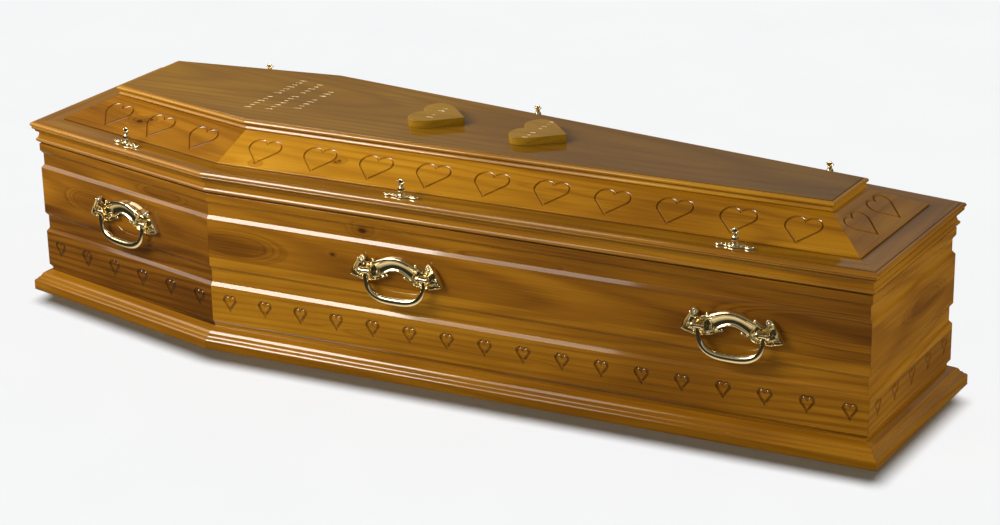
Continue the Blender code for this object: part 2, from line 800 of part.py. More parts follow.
def cylinder_mesh(name, radius, length, sides):
    """A cylinder along X, centred on the origin."""
    shape = bmesh.new()
    turn = Matrix.Rotation(math.pi / 2, 4, "Y")
    bmesh.ops.create_cone(shape, cap_ends=True, segments=sides, radius1=radius, radius2=radius,
                          depth=length, matrix=turn)
    mesh = bpy.data.meshes.new(name)
    shape.to_mesh(mesh)
    shape.free()
    return mesh


def sphere_mesh(name, radius):
    """A small ball."""
    shape = bmesh.new()
    bmesh.ops.create_uvsphere(shape, u_segments=6, v_segments=4, radius=radius)
    mesh = bpy.data.meshes.new(name)
    shape.to_mesh(mesh)
    shape.free()
    return mesh


def handle_back_mesh():
    """The cast back of a handle as one solid, seen from the front, pivots at Y 0."""
    arch = raised_mesh("handle_arch", arch_outline(), ARCH_THICKNESS, ARCH_EDGE)
    back = add_cutter("handle_back", arch, Matrix.Identity(4))
    housing = slab_mesh("pivot_housing", [housing_outline()], HOUSING_DEPTH - FAN_EDGE)
    ball = sphere_mesh("fan_finial", FINIAL_RADIUS)
    housing_out = (HOUSING_DEPTH + FAN_EDGE) / 2
    for hand in (1, -1):
        fan = raised_mesh("handle_fan", fan_outline(hand), FAN_THICKNESS, FAN_EDGE)
        pieces = (
            (fan, (0, 0, 0)),
            (housing, (hand * PIVOT_SPACING / 2, 0, housing_out)),
            (ball, (hand * FINIAL_OUT, FINIAL_UP, FAN_THICKNESS - FAN_EDGE)),
        )
        for mesh, place in pieces:
            name = "%s_%d" % (mesh.name, hand)
            combine(back, add_cutter(name, mesh, Matrix.Translation(place)), "UNION")
    level = add_cutter("handle_seat", bpy.data.meshes.new("handle_seat"), Matrix.Identity(4))
    shape = bmesh.new()
    size = 4 * FAN_SKIRT_OUTER
    lower_half = Matrix.Translation((0, 0, -size / 2)) @ Matrix.Diagonal((size, size, size, 1))
    bmesh.ops.create_cube(shape, size=1.0, matrix=lower_half)
    shape.to_mesh(level.data)
    shape.free()
    combine(back, level, "DIFFERENCE")
    return close_up(evaluated_mesh(back, "handle_back"))


def bail_path():
    """Points of the bail from one pivot round to the other, with the bar's radius at each."""
    points = []
    for step in range(BAIL_STEPS + 1):
        angle = math.pi * step / BAIL_STEPS
        reach = abs(math.cos(angle)) ** (2 / BAIL_SHAPE_POWER)
        drop = math.sin(angle) ** (2 / BAIL_SHAPE_POWER)
        side = math.copysign(1, math.cos(angle))
        top_pull = (BAIL_SPREAD - PIVOT_SPACING / 2) * (1 - drop)
        x = side * (BAIL_SPREAD - top_pull) * reach if drop else side * PIVOT_SPACING / 2
        radius = BAIL_LEG_RADIUS + (BAIL_GRIP_RADIUS - BAIL_LEG_RADIUS) * drop ** 2
        points.append((x, -BAIL_DROP * drop, radius))
    return points


def bail_mesh():
    """The hanging bail with a barrel at each pivot, as one solid, pivots at the origin's X."""
    curve = bpy.data.curves.new("bail_bar", "CURVE")
    curve.dimensions = "3D"
    curve.fill_mode = "FULL"
    curve.bevel_depth = 1.0
    curve.bevel_resolution = BAIL_RESOLUTION
    curve.use_fill_caps = True
    path = bail_path()
    spline = curve.splines.new("POLY")
    spline.points.add(len(path) - 1)
    for point, (x, y, radius) in zip(spline.points, path):
        point.co = (x, y, 0, 1)
        point.radius = radius
    source = bpy.data.objects.new("bail_bar", curve)
    CUTTERS.objects.link(source)
    bar = add_cutter("bail", close_up(evaluated_mesh(source, "bail")), Matrix.Identity(4))
    barrel = cylinder_mesh("bail_barrel", BARREL_RADIUS, BARREL_LENGTH, BARREL_SIDES)
    for hand in (1, -1):
        name = "bail_barrel_%d" % hand
        place = Matrix.Translation((hand * PIVOT_SPACING / 2, 0, 0))
        combine(bar, add_cutter(name, barrel, place), "UNION")
    return close_up(evaluated_mesh(bar, "bail"))


def build_handles():
    """Six handles, each a cast back on the wall's upper face and a bail on its pivots."""
    back = handle_back_mesh()
    bail = bail_mesh()
    for label, side, place in side_places(HANDLE_FROM_END, HANDLE_MIDDLE_SHIFT):
        seat = side_frame(side) @ Matrix.Translation((place, HANDLE_PIVOT_HEIGHT, GAP))
        add_part("handle_back_" + label, back, seat, BRASS)
        pivot = seat @ Matrix.Translation((0, 0, PIVOT_STANDOFF))
        add_part("bail_" + label, bail, pivot, BRASS)


build_bottom_board()
build_walls()
build_mouldings()
build_rim_board()
build_slopes()
build_top_board()
build_plaques()
build_thumbscrews()
build_handles()
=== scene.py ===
"""The looks of a wooden coffin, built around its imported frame.

Metres, +Z up.  The origin is the middle of the underside, the head end is at -X, the foot end
at +X, and the side seen in front is at -Y.
"""

import json
import math

import bmesh
import bpy
from mathutils import Matrix, Vector

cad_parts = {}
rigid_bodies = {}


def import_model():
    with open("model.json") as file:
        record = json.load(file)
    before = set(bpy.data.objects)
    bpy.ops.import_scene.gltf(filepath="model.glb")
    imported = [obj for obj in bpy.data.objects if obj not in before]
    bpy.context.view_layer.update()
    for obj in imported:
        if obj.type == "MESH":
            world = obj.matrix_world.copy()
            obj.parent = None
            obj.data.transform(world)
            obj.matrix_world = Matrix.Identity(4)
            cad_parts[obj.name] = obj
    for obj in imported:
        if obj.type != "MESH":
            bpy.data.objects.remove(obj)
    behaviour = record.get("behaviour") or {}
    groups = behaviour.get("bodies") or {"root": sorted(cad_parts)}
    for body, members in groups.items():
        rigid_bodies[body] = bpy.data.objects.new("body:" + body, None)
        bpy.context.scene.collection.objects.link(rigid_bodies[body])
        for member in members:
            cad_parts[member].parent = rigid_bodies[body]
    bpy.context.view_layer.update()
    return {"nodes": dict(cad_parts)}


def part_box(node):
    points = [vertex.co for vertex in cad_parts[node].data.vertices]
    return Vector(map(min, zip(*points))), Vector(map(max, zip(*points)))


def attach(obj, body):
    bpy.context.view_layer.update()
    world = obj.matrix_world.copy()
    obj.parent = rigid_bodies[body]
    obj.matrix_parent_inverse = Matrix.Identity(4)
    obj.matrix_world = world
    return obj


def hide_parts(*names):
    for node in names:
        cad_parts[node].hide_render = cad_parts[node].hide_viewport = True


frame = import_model()

# Gap between pieces that touch
GAP = 0.0003

# Edges that turn more than this are shaded sharp
SHARP_ANGLE = math.radians(34)

# Rounding of machined wooden edges
ARRIS_RADIUS = 0.0012
ARRIS_STEPS = 3

# Worn flat on the round mouldings, in degrees up from level
WORN_START = 17
WORN_END = 56

# Box
WALL_THICKNESS = 0.022
BOTTOM_THICKNESS = 0.020
GROOVE_DEPTH = 0.0055
GROOVE_BEVEL = 0.0075
PLINTH_GROOVE = 0.0140
LOWER_FACE = 0.0780
MIDDLE_GROOVE = 0.0435
UPPER_FACE = 0.1040
TOP_GROOVE = 0.0400
LIP_HEIGHT = 0.0160

# Plinth moulding
PLINTH_HEIGHT = 0.0405
PLINTH_PROJECTION = 0.0278
PLINTH_FLAT = 0.0165
PLINTH_BEADS = (0.0045, 0.0040, 0.0080)
PLINTH_STEP = 0.0020
PLINTH_RISE = 0.0015

# Lid rim
RIM_HEIGHT = 0.0503
RIM_BOARD_THICKNESS = 0.0220
RIM_BOARD_WIDTH = 0.0900
RIM_BOARD_EDGE = 0.0044
RIM_BOARD_STEP = 0.0015
RIM_FRAME_WIDTH = 0.0220
RIM_NOSE_PROJECTION = 0.0134
RIM_NOSE_RADIUS = 0.0048
RIM_NOSE_FILLET = 0.0050
RIM_COVE_RADIUS = 0.0120
RIM_BEAD_PROJECTION = 0.0052
RIM_BEAD_RADIUS = 0.0045
RIM_FOOT_INSET = 0.0045

# Sloping boards of the lid
SLOPE_FOOT_INSET = 0.0438
SLOPE_TOP_INSET = 0.1400
SLOPE_HEIGHT = 0.0468
SLOPE_REVEAL = 0.0030
SLOPE_THICKNESS = 0.0160

# Top board and the moulding around it
TOP_BOARD_THICKNESS = 0.0217
TOP_BOARD_INSET = 0.0042
TOP_BOARD_STEP = 0.0015
TOP_NOSE_PROJECTION = 0.0047
TOP_NOSE_RADIUS = 0.0045
TOP_NECK_INSET = 0.0014
TOP_NECK_HEIGHT = 0.0030
TOP_BEAD_PROJECTION = 0.0018
TOP_BEAD_RADIUS = 0.0030

# Radius of a heart's lobes as a share of its width
HEART_LOBE = 0.27

# Small routed hearts on the lower face of the walls
SMALL_HEART_WIDTH = 0.027
SMALL_HEART_HEIGHT = 0.0285
SMALL_GROOVE = 0.0034
SMALL_GROOVE_LIFT = 0.0004
SMALL_HEART_MARGIN = 0.041
SMALL_HEART_RISE = 0.030
SMALL_HEART_SHIFT = 0.004
SMALL_HEART_COUNTS = (6, 17, 5, 17, 6, 5)
SMALL_HEART_LOBE_START = -20
SMALL_HEART_ARC_STEPS = 9

# Large routed hearts on the sloping boards
LARGE_HEART_WIDTH = 0.073
LARGE_HEART_HEIGHT = 0.067
LARGE_GROOVE = 0.0026
LARGE_GROOVE_LIFT = 0.0001
LARGE_HEART_RISE = 0.0155
LARGE_HEART_SHIFT = -0.0045
LARGE_HEART_PITCHES = (0.133, 0.1303, 0.106, 0.1303, 0.133, 0.106)
LARGE_HEART_COUNTS = (3, 10, 2, 10, 3, 2)
LARGE_HEART_LOBE_START = -40
LARGE_HEART_ARC_STEPS = 14

# Points around a routing cutter: eight times this, less one quarter
CUTTER_RESOLUTION = 3

# Edges shorter than this are closed up after a cut
SLIVER = 0.00005

# Heart plaques on the top board
PLAQUE_WIDTH = 0.136
PLAQUE_LENGTH = 0.113
PLAQUE_THICKNESS = 0.0164
PLAQUE_EDGE = 0.0012
PLAQUE_TIP_RADIUS = 0.0045
PLAQUE_TIP_TURN = math.radians(55)
PLAQUE_TIPS = (-0.020, 0.221)
PLAQUE_LOBE_START = -6
PLAQUE_ARC_STEPS = 22
PLAQUE_CHEEK_RADIUS = 0.030
PLAQUE_CHEEK_STEPS = 8

# Rows of engraved strokes: distance of each row from the head end, stroke lengths in turn
STROKE_WIDTH = 0.0034
STROKE_DEPTH = 0.0010
STROKE_SLANT = 0.22
STROKE_PITCH = 0.0160
WORD_SPACE = 0.0140
ROW_DISTANCES = (0.480, 0.529, 0.580)
ROW_STROKES = ((6, 7), (7, 5), (5, 3))
ROW_STROKE_LENGTHS = (0.019, 0.013, 0.016)
PLAQUE_STROKES = ((2, 2), (3, 4))
PLAQUE_STROKE_LENGTHS = ((0.017, 0.009), (0.013, 0.008))
PLAQUE_ROW_FROM_TIP = 0.067

# Thumbscrews and the winged plates under them
SCREW_FROM_END = 0.2745
SCREW_MIDDLE_SHIFT = -0.003
SCREW_INSET = 0.012
WING_THICKNESS = 0.0040
WING_LENGTH = 0.0400
WING_WIDTH = 0.0075

# Handles
HANDLE_FROM_END = 0.2705
HANDLE_MIDDLE_SHIFT = -0.011
HANDLE_PIVOT_HEIGHT = 0.229
PIVOT_SPACING = 0.131
PIVOT_STANDOFF = 0.0155
BARREL_RADIUS = 0.0052
BARREL_LENGTH = 0.0170
BAIL_DROP = 0.0565
BAIL_SPREAD = 0.0670
BAIL_LEG_RADIUS = 0.0044
BAIL_GRIP_RADIUS = 0.0088
BAIL_SHAPE_POWER = 2.9
BAIL_STEPS = 56

PLACES = ("shoulder_right", "long_right", "foot", "long_left", "shoulder_left", "head")
WALL_NODES = (
    "shoulder_board_right",
    "long_board_right",
    "foot_board",
    "long_board_left",
    "shoulder_board_left",
    "head_board",
)


def wall_corners():
    """The outer corners of the walls in plan, read from the boards of the frame."""
    head_low, head_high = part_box("head_board")
    foot_low, foot_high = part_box("foot_board")
    board = frame["nodes"]["shoulder_board_right"].data
    shoulder = min(board.vertices, key=lambda vertex: vertex.co.y).co
    return [
        Vector((head_low.x, head_low.y)),
        Vector((shoulder.x, shoulder.y)),
        Vector((foot_high.x, foot_low.y)),
        Vector((foot_high.x, foot_high.y)),
        Vector((shoulder.x, -shoulder.y)),
        Vector((head_low.x, head_high.y)),
    ]


CORNERS = wall_corners()
SIDES = range(len(CORNERS))
LENGTH = CORNERS[2].x - CORNERS[0].x

# Heights that follow from the frame and the sizes above
LOWER_FACE_FOOT = PLINTH_HEIGHT + PLINTH_GROOVE
LOWER_FACE_TOP = LOWER_FACE_FOOT + LOWER_FACE
UPPER_FACE_FOOT = LOWER_FACE_TOP + MIDDLE_GROOVE
UPPER_FACE_TOP = UPPER_FACE_FOOT + UPPER_FACE
LIP_FOOT = UPPER_FACE_TOP + TOP_GROOVE
WALL_TOP = LIP_FOOT + LIP_HEIGHT
LID_FOOT = WALL_TOP + GAP
RIM_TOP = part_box("rim_board")[1].z
SLOPE_FOOT = RIM_TOP + GAP
SLOPE_TOP = SLOPE_FOOT + SLOPE_HEIGHT
TOP_FOOT = SLOPE_TOP + GAP
LID_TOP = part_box("top_board")[1].z


def next_side(side):
    """The side, and the corner, that follows this one."""
    return (side + 1) % len(CORNERS)


def along(side):
    """Unit vector along a side, from its first corner to its last."""
    return (CORNERS[next_side(side)] - CORNERS[side]).normalized()


def outward(side):
    """Unit vector pointing out of a side."""
    direction = along(side)
    return Vector((direction.y, -direction.x))


def footward(side):
    """1 where a side runs toward the foot end, -1 where it runs back, 0 across an end."""
    return round(along(side).x)


def half_turn_tangent(corner):
    """Tangent of half the angle by which the plan turns at a corner."""
    turn = along(corner - 1).angle(along(corner))
    return math.tan(turn / 2)


def plan_corner(corner, offset):
    """A corner of the plan moved out by an offset from both of its sides."""
    before = outward(corner - 1)
    after = outward(corner)
    return CORNERS[corner] + (before + after) * (offset / (1 + before.dot(after)))


def side_span(side, offset):
    """Where a side starts and ends along itself at an offset, measured from its middle."""
    half_length = (CORNERS[next_side(side)] - CORNERS[side]).length / 2
    start = -half_length - offset * half_turn_tangent(side)
    end = half_length + offset * half_turn_tangent(next_side(side))
    return start, end


def side_frame(side):
    """Frame of a side: X along it, Y up, Z out of it, from its middle at floor level."""
    middle = (CORNERS[side] + CORNERS[next_side(side)]) / 2
    direction = along(side)
    normal = outward(side)
    return Matrix((
        (direction.x, 0, normal.x, middle.x),
        (direction.y, 0, normal.y, middle.y),
        (0, 1, 0, 0),
        (0, 0, 0, 1),
    ))


def slope_frame(side):
    """Frame of a sloping board's face: Y up the slope, from the middle of its foot edge."""
    rise = SLOPE_HEIGHT - SLOPE_REVEAL
    run = SLOPE_TOP_INSET - SLOPE_FOOT_INSET
    start, end = side_span(side, -(SLOPE_FOOT_INSET + SLOPE_TOP_INSET) / 2)
    foot = Matrix.Translation(((start + end) / 2, SLOPE_FOOT + SLOPE_REVEAL, -SLOPE_FOOT_INSET))
    lean = Matrix.Rotation(math.atan2(rise, run) - math.pi / 2, 4, "X")
    return side_frame(side) @ foot @ lean


def place_on_side(side, station):
    """Distance along a side, from its middle, of the place whose world X is the station."""
    middle = (CORNERS[side] + CORNERS[next_side(side)]) / 2
    return (station - middle.x) / along(side).x


def fitting_places(from_end, middle_shift):
    """Name, side and distance along it of the six places for a fitting."""
    head = from_end - LENGTH / 2
    foot = LENGTH / 2 - from_end
    return (
        ("right_head", 0, place_on_side(0, head)),
        ("right_middle", 1, place_on_side(1, middle_shift)),
        ("right_foot", 1, place_on_side(1, foot)),
        ("left_foot", 3, place_on_side(3, foot)),
        ("left_middle", 3, place_on_side(3, middle_shift)),
        ("left_head", 4, place_on_side(4, head)),
    )


# Outlines and sections


def arc(centre, radius, start, end, steps):
    """Points of an arc, angles in degrees."""
    points = []
    for step in range(steps + 1):
        angle = math.radians(start + (end - start) * step / steps)
        points.append((centre[0] + radius * math.cos(angle), centre[1] + radius * math.sin(angle)))
    return points


def heart_outline(width, height, lobe_start, arc_steps):
    """A heart with its tip at the origin and its lobes up: two arcs and two straight sides."""
    radius = HEART_LOBE * width
    centre_x = width / 2 - radius
    centre_y = height - radius
    end = math.degrees(math.acos(-centre_x / radius))
    right = arc((centre_x, centre_y), radius, lobe_start, end, arc_steps)
    left = [(-x, y) for x, y in reversed(right[:-1])]
    return [(0.0, 0.0)] + right + left


def rounded_cheeks(outline):
    """A heart whose straight sides run into the lobes in a curve."""
    tip, first, *lobes, last = outline
    tip = Vector(tip)
    rounded = [tuple(tip)]
    for kink, lobe, flip in ((first, lobes, False), (last, lobes[::-1], True)):
        here = Vector(kink)
        start = here.lerp(tip, PLAQUE_CHEEK_RADIUS / here.length)
        skip = next(index for index, point in enumerate(lobe)
                    if (Vector(point) - here).length > PLAQUE_CHEEK_RADIUS * 0.6)
        end = Vector(lobe[skip])
        curve = []
        for step in range(PLAQUE_CHEEK_STEPS + 1):
            share = step / PLAQUE_CHEEK_STEPS
            blend = here * 1.012
            point = start * (1 - share) ** 2 + blend * 2 * share * (1 - share) + end * share ** 2
            curve.append(tuple(point))
        if flip:
            rounded += curve[::-1]
        else:
            rounded += curve + lobes[skip + 1:len(lobes) - skip - 1]
    return rounded


def soften(points, radius, steps, least_turn=math.radians(20)):
    """A closed outline with its corners rounded; corners that turn less are kept."""
    softened = []
    for index, point in enumerate(points):
        here = Vector(point)
        back = Vector(points[index - 1]) - here
        ahead = Vector(points[(index + 1) % len(points)]) - here
        turn = math.pi - back.angle(ahead)
        reach = radius * math.tan(turn / 2)
        room = 0.45 * min(back.length, ahead.length)
        if turn < least_turn or room < radius / 4:
            softened.append(tuple(here))
            continue
        reach = min(reach, room)
        first = here + back.normalized() * reach
        last = here + ahead.normalized() * reach
        for step in range(steps + 1):
            share = step / steps
            curve = first * (1 - share) ** 2 + here * 2 * share * (1 - share) + last * share ** 2
            softened.append(tuple(curve))
    return softened


def wall_profile():
    """Section of a wall board: two flat faces and a lip between bevelled grooves."""
    foot = BOTTOM_THICKNESS + GAP
    points = [(-WALL_THICKNESS, foot), (-GROOVE_DEPTH, foot)]
    for start, end in ((LOWER_FACE_FOOT, LOWER_FACE_TOP), (UPPER_FACE_FOOT, UPPER_FACE_TOP)):
        points.append((-GROOVE_DEPTH, start - GROOVE_BEVEL))
        points.append((0, start))
        points.append((0, end))
        points.append((-GROOVE_DEPTH, end + GROOVE_BEVEL))
    points.append((-GROOVE_DEPTH, LIP_FOOT - GROOVE_BEVEL))
    points.append((0, LIP_FOOT))
    points.append((0, WALL_TOP))
    points.append((-WALL_THICKNESS, WALL_TOP))
    return soften(points, ARRIS_RADIUS, ARRIS_STEPS)


def worn_arc(centre, radius, start, end, steps):
    """An arc with a narrow flat where hands and cloths have worn it, facing up and out."""
    below = arc(centre, radius, start, WORN_START, steps)
    return below + arc(centre, radius, WORN_END, end, steps // 2)


def plinth_profile():
    """Section of the plinth moulding: a flat, three beads set back in turn, a sloping top."""
    back = -GROOVE_DEPTH + GAP
    offset = PLINTH_PROJECTION
    height = PLINTH_FLAT
    points = [(back, 0), (offset, 0)]
    for radius in PLINTH_BEADS:
        points += worn_arc((offset - radius, height), radius, 0, 90, 4)
        offset -= radius + PLINTH_STEP
        height += radius + PLINTH_RISE
    points.append((back, PLINTH_HEIGHT))
    return points


def rim_profile():
    """Section of the frame under and around the rim board: bead, cove, thin bead and nose."""
    inner = RIM_BOARD_EDGE - RIM_FRAME_WIDTH
    board_foot = RIM_TOP - RIM_BOARD_THICKNESS - GAP
    bead_centre = (RIM_BEAD_PROJECTION - RIM_BEAD_RADIUS, LID_FOOT + 2 * RIM_BEAD_RADIUS)
    nose_centre = (RIM_NOSE_PROJECTION - RIM_NOSE_RADIUS, RIM_TOP - RIM_BOARD_STEP - RIM_NOSE_RADIUS)
    fillet_top = nose_centre[1] - RIM_NOSE_RADIUS * math.sin(math.radians(60))
    fillet_offset = nose_centre[0] + RIM_NOSE_RADIUS * math.cos(math.radians(60))
    fillet_centre = (fillet_offset - RIM_NOSE_FILLET / 2, fillet_top - RIM_NOSE_FILLET / 2)
    cove_centre = (fillet_offset, fillet_top - RIM_NOSE_FILLET - RIM_COVE_RADIUS)
    points = [(inner, LID_FOOT), (-RIM_FOOT_INSET, LID_FOOT)]
    points += worn_arc(bead_centre, RIM_BEAD_RADIUS, -70, 80, 8)
    points += arc(cove_centre, RIM_COVE_RADIUS, 195, 90, 10)
    points += worn_arc(fillet_centre, RIM_NOSE_FILLET / 2, -90, 90, 6)
    points += worn_arc(nose_centre, RIM_NOSE_RADIUS, -60, 90, 8)
    points.append((RIM_BOARD_EDGE + GAP, RIM_TOP - RIM_BOARD_STEP))
    points.append((RIM_BOARD_EDGE + GAP, board_foot))
    points.append((inner, board_foot))
    return points


def rim_board_profile():
    """Section of the flat board of the rim, with its outer edge eased."""
    outer = RIM_BOARD_EDGE
    inner = RIM_BOARD_EDGE - RIM_BOARD_WIDTH
    foot = RIM_TOP - RIM_BOARD_THICKNESS
    points = [(inner, foot), (outer, foot), (outer, RIM_TOP), (inner, RIM_TOP)]
    return soften(points, ARRIS_RADIUS / 2, ARRIS_STEPS)


def slope_profile():
    """Section of a sloping board: level foot with a small reveal, level top."""
    rise = SLOPE_HEIGHT - SLOPE_REVEAL
    run = SLOPE_TOP_INSET - SLOPE_FOOT_INSET
    level_width = SLOPE_THICKNESS * math.hypot(rise, run) / rise
    inner_foot = SLOPE_FOOT_INSET + level_width - SLOPE_REVEAL * run / rise
    points = [
        (-inner_foot, SLOPE_FOOT),
        (-SLOPE_FOOT_INSET, SLOPE_FOOT),
        (-SLOPE_FOOT_INSET, SLOPE_FOOT + SLOPE_REVEAL),
        (-SLOPE_TOP_INSET, SLOPE_TOP),
        (-SLOPE_TOP_INSET - level_width, SLOPE_TOP),
    ]
    return soften(points, ARRIS_RADIUS, ARRIS_STEPS)


def top_profile():
    """Section of the moulding around the top board: small bead, neck and round nose."""
    edge = -SLOPE_TOP_INSET
    back = edge - TOP_BOARD_INSET + GAP
    crest = LID_TOP - TOP_BOARD_STEP
    bead_centre = (edge + TOP_BEAD_PROJECTION - TOP_BEAD_RADIUS, TOP_FOOT + TOP_BEAD_RADIUS)
    nose_centre = (edge + TOP_NOSE_PROJECTION - TOP_NOSE_RADIUS, crest - TOP_NOSE_RADIUS)
    neck_top = nose_centre[1] - TOP_NOSE_RADIUS
    points = [(back, TOP_FOOT)]
    points += worn_arc(bead_centre, TOP_BEAD_RADIUS, -90, 60, 8)
    points.append((edge - TOP_NECK_INSET, neck_top - TOP_NECK_HEIGHT))
    points.append((edge - TOP_NECK_INSET, neck_top))
    points += worn_arc(nose_centre, TOP_NOSE_RADIUS, -60, 90, 8)
    points.append((back, crest))
    return points


# Meshes


def new_mesh(name, points, faces):
    """A mesh from points and faces, with its faces turned outward."""
    mesh = bpy.data.meshes.new(name)
    mesh.from_pydata([tuple(point) for point in points], [], faces)
    shape = bmesh.new()
    shape.from_mesh(mesh)
    bmesh.ops.recalc_face_normals(shape, faces=shape.faces)
    shape.to_mesh(mesh)
    shape.free()
    return mesh


def swept_mesh(name, side, profile):
    """A board or moulding along one side, mitred at both ends.

    The profile's points are offsets from the wall's outer face and heights.
    """
    count = len(profile)
    retreat_start = GAP / 2 / math.cos(math.atan(half_turn_tangent(side)))
    retreat_end = GAP / 2 / math.cos(math.atan(half_turn_tangent(next_side(side))))
    starts = []
    ends = []
    for offset, height in profile:
        start, end = side_span(side, offset)
        starts.append((start + retreat_start, height, offset))
        ends.append((end - retreat_end, height, offset))
    faces = [(index, (index + 1) % count, (index + 1) % count + count, index + count)
             for index in range(count)]
    faces.append(tuple(range(count)))
    faces.append(tuple(range(count, 2 * count)))
    return new_mesh(name, starts + ends, faces)


def slab_mesh(name, outline, thickness, edge=0.0, steps=3):
    """A flat piece standing on its plane, with its upper edge rounded by a radius."""
    shape = bmesh.new()
    foot = [shape.verts.new((x, y, 0)) for x, y in outline]
    shape.faces.new(foot)
    body = bmesh.ops.extrude_face_region(shape, geom=shape.faces[:])
    lifted = [item for item in body["geom"] if isinstance(item, bmesh.types.BMVert)]
    bmesh.ops.translate(shape, verts=lifted, vec=(0, 0, thickness - edge))
    bmesh.ops.recalc_face_normals(shape, faces=shape.faces)
    upper = [face for face in shape.faces if face.normal.z > 0.9]
    for step in range(1, steps + 1 if edge else 1):
        inward = edge * (math.cos(math.pi / 2 * (step - 1) / steps) - math.cos(math.pi / 2 * step / steps))
        upward = edge * (math.sin(math.pi / 2 * step / steps) - math.sin(math.pi / 2 * (step - 1) / steps))
        bmesh.ops.inset_region(shape, faces=upper, thickness=inward, depth=0, use_even_offset=True)
        raised = {vert for face in upper for vert in face.verts}
        bmesh.ops.translate(shape, verts=list(raised), vec=(0, 0, upward))
    mesh = bpy.data.meshes.new(name)
    shape.to_mesh(mesh)
    shape.free()
    return mesh


def grid_mesh(name, rows, closed_rows=False, closed_columns=False, skirt=None):
    """A mesh over rows of points; closed rows join their ends, closed columns join the last
    row to the first, and a skirt drops the border to a height."""
    height = len(rows)
    width = len(rows[0])
    points = [point for row in rows for point in row]
    faces = []
    for row in range(height if closed_columns else height - 1):
        for column in range(width if closed_rows else width - 1):
            right = (column + 1) % width
            below = (row + 1) % height
            faces.append((row * width + column, row * width + right,
                          below * width + right, below * width + column))
    if skirt is not None:
        border = list(range(width))
        border += [row * width + width - 1 for row in range(1, height)]
        border += [(height - 1) * width + column for column in range(width - 2, -1, -1)]
        border += [row * width for row in range(height - 2, 0, -1)]
        first = len(points)
        points += [(points[index][0], points[index][1], skirt) for index in border]
        for step, index in enumerate(border):
            ahead = (step + 1) % len(border)
            faces.append((index, border[ahead], first + ahead, first + step))
        faces.append(tuple(range(first, first + len(border))))
    return new_mesh(name, points, faces)


def closed_tube(name, rows):
    """A mesh over closed rows of points, with both ends filled."""
    mesh = grid_mesh(name, rows, closed_rows=True)
    shape = bmesh.new()
    shape.from_mesh(mesh)
    bmesh.ops.holes_fill(shape, edges=shape.edges[:], sides=0)
    bmesh.ops.recalc_face_normals(shape, faces=shape.faces)
    shape.to_mesh(mesh)
    shape.free()
    return mesh


def turned_mesh(name, profile, sides, lobes=0, lobe_depth=0.0, lobe_span=(0.0, 0.0)):
    """A turned solid about Z; between two heights its radius swells in lobes."""
    rows = []
    for radius, height in profile:
        low, high = lobe_span
        inside = low < height < high
        swell = lobe_depth * math.sin(math.pi * (height - low) / (high - low)) if inside else 0.0
        row = []
        for step in range(sides):
            angle = 2 * math.pi * step / sides
            reach = max(radius, 1e-5) * (1 + swell * abs(math.cos(lobes * angle / 2)) - swell / 2)
            row.append((reach * math.cos(angle), reach * math.sin(angle), height))
        rows.append(row)
    return closed_tube(name, rows)


def ring_mesh(name, major, minor, major_steps=20, minor_steps=10):
    """A ring lying about Z."""
    rows = []
    for step in range(major_steps):
        turn = 2 * math.pi * step / major_steps
        row = []
        for point in range(minor_steps):
            roll = 2 * math.pi * point / minor_steps
            reach = major + minor * math.cos(roll)
            row.append((reach * math.cos(turn), reach * math.sin(turn), minor * math.sin(roll)))
        rows.append(row)
    return grid_mesh(name, rows, closed_rows=True, closed_columns=True)


def ball_profile(radius, squash=1.0, steps=8, foot=0.0):
    """Profile of a ball, slightly flattened, standing at a height."""
    points = []
    for step in range(steps + 1):
        angle = math.pi * step / steps
        points.append((radius * math.sin(angle), foot + radius * squash * math.cos(angle)))
    return points


def joined_mesh(name, pieces):
    """One mesh from several, each moved by its own matrix."""
    shape = bmesh.new()
    for mesh, place in pieces:
        first = len(shape.verts)
        shape.from_mesh(mesh)
        shape.verts.ensure_lookup_table()
        added = shape.verts[first:]
        bmesh.ops.transform(shape, matrix=place, verts=added)
    bmesh.ops.recalc_face_normals(shape, faces=shape.faces)
    mesh = bpy.data.meshes.new(name)
    shape.to_mesh(mesh)
    shape.free()
    return mesh


def evaluated_mesh(source, name):
    """A mesh of an object with its modifiers applied; the object is removed."""
    bpy.context.view_layer.update()
    depsgraph = bpy.context.evaluated_depsgraph_get()
    mesh = bpy.data.meshes.new_from_object(source.evaluated_get(depsgraph))
    mesh.name = name
    bpy.data.objects.remove(source, do_unlink=True)
    return mesh


def add_object(name, mesh, place):
    """An object in the scene at a place."""
    item = bpy.data.objects.new(name, mesh)
    item.matrix_world = place
    bpy.context.scene.collection.objects.link(item)
    return item


def carve(mesh, cutter_mesh):
    """A mesh with another one cut out of it, both in the same frame."""
    target = add_object("carved", mesh, Matrix.Identity(4))
    cutter = add_object("cutter", cutter_mesh, Matrix.Identity(4))
    cut = target.modifiers.new("cut", "BOOLEAN")
    cut.operation = "DIFFERENCE"
    cut.solver = "EXACT"
    cut.use_self = True
    cut.material_mode = "TRANSFER"
    cut.object = cutter
    carved = evaluated_mesh(target, mesh.name)
    bpy.data.objects.remove(cutter, do_unlink=True)
    shape = bmesh.new()
    shape.from_mesh(carved)
    bmesh.ops.remove_doubles(shape, verts=shape.verts, dist=SLIVER)
    bmesh.ops.dissolve_degenerate(shape, edges=shape.edges, dist=SLIVER)
    shape.to_mesh(carved)
    shape.free()
    return carved


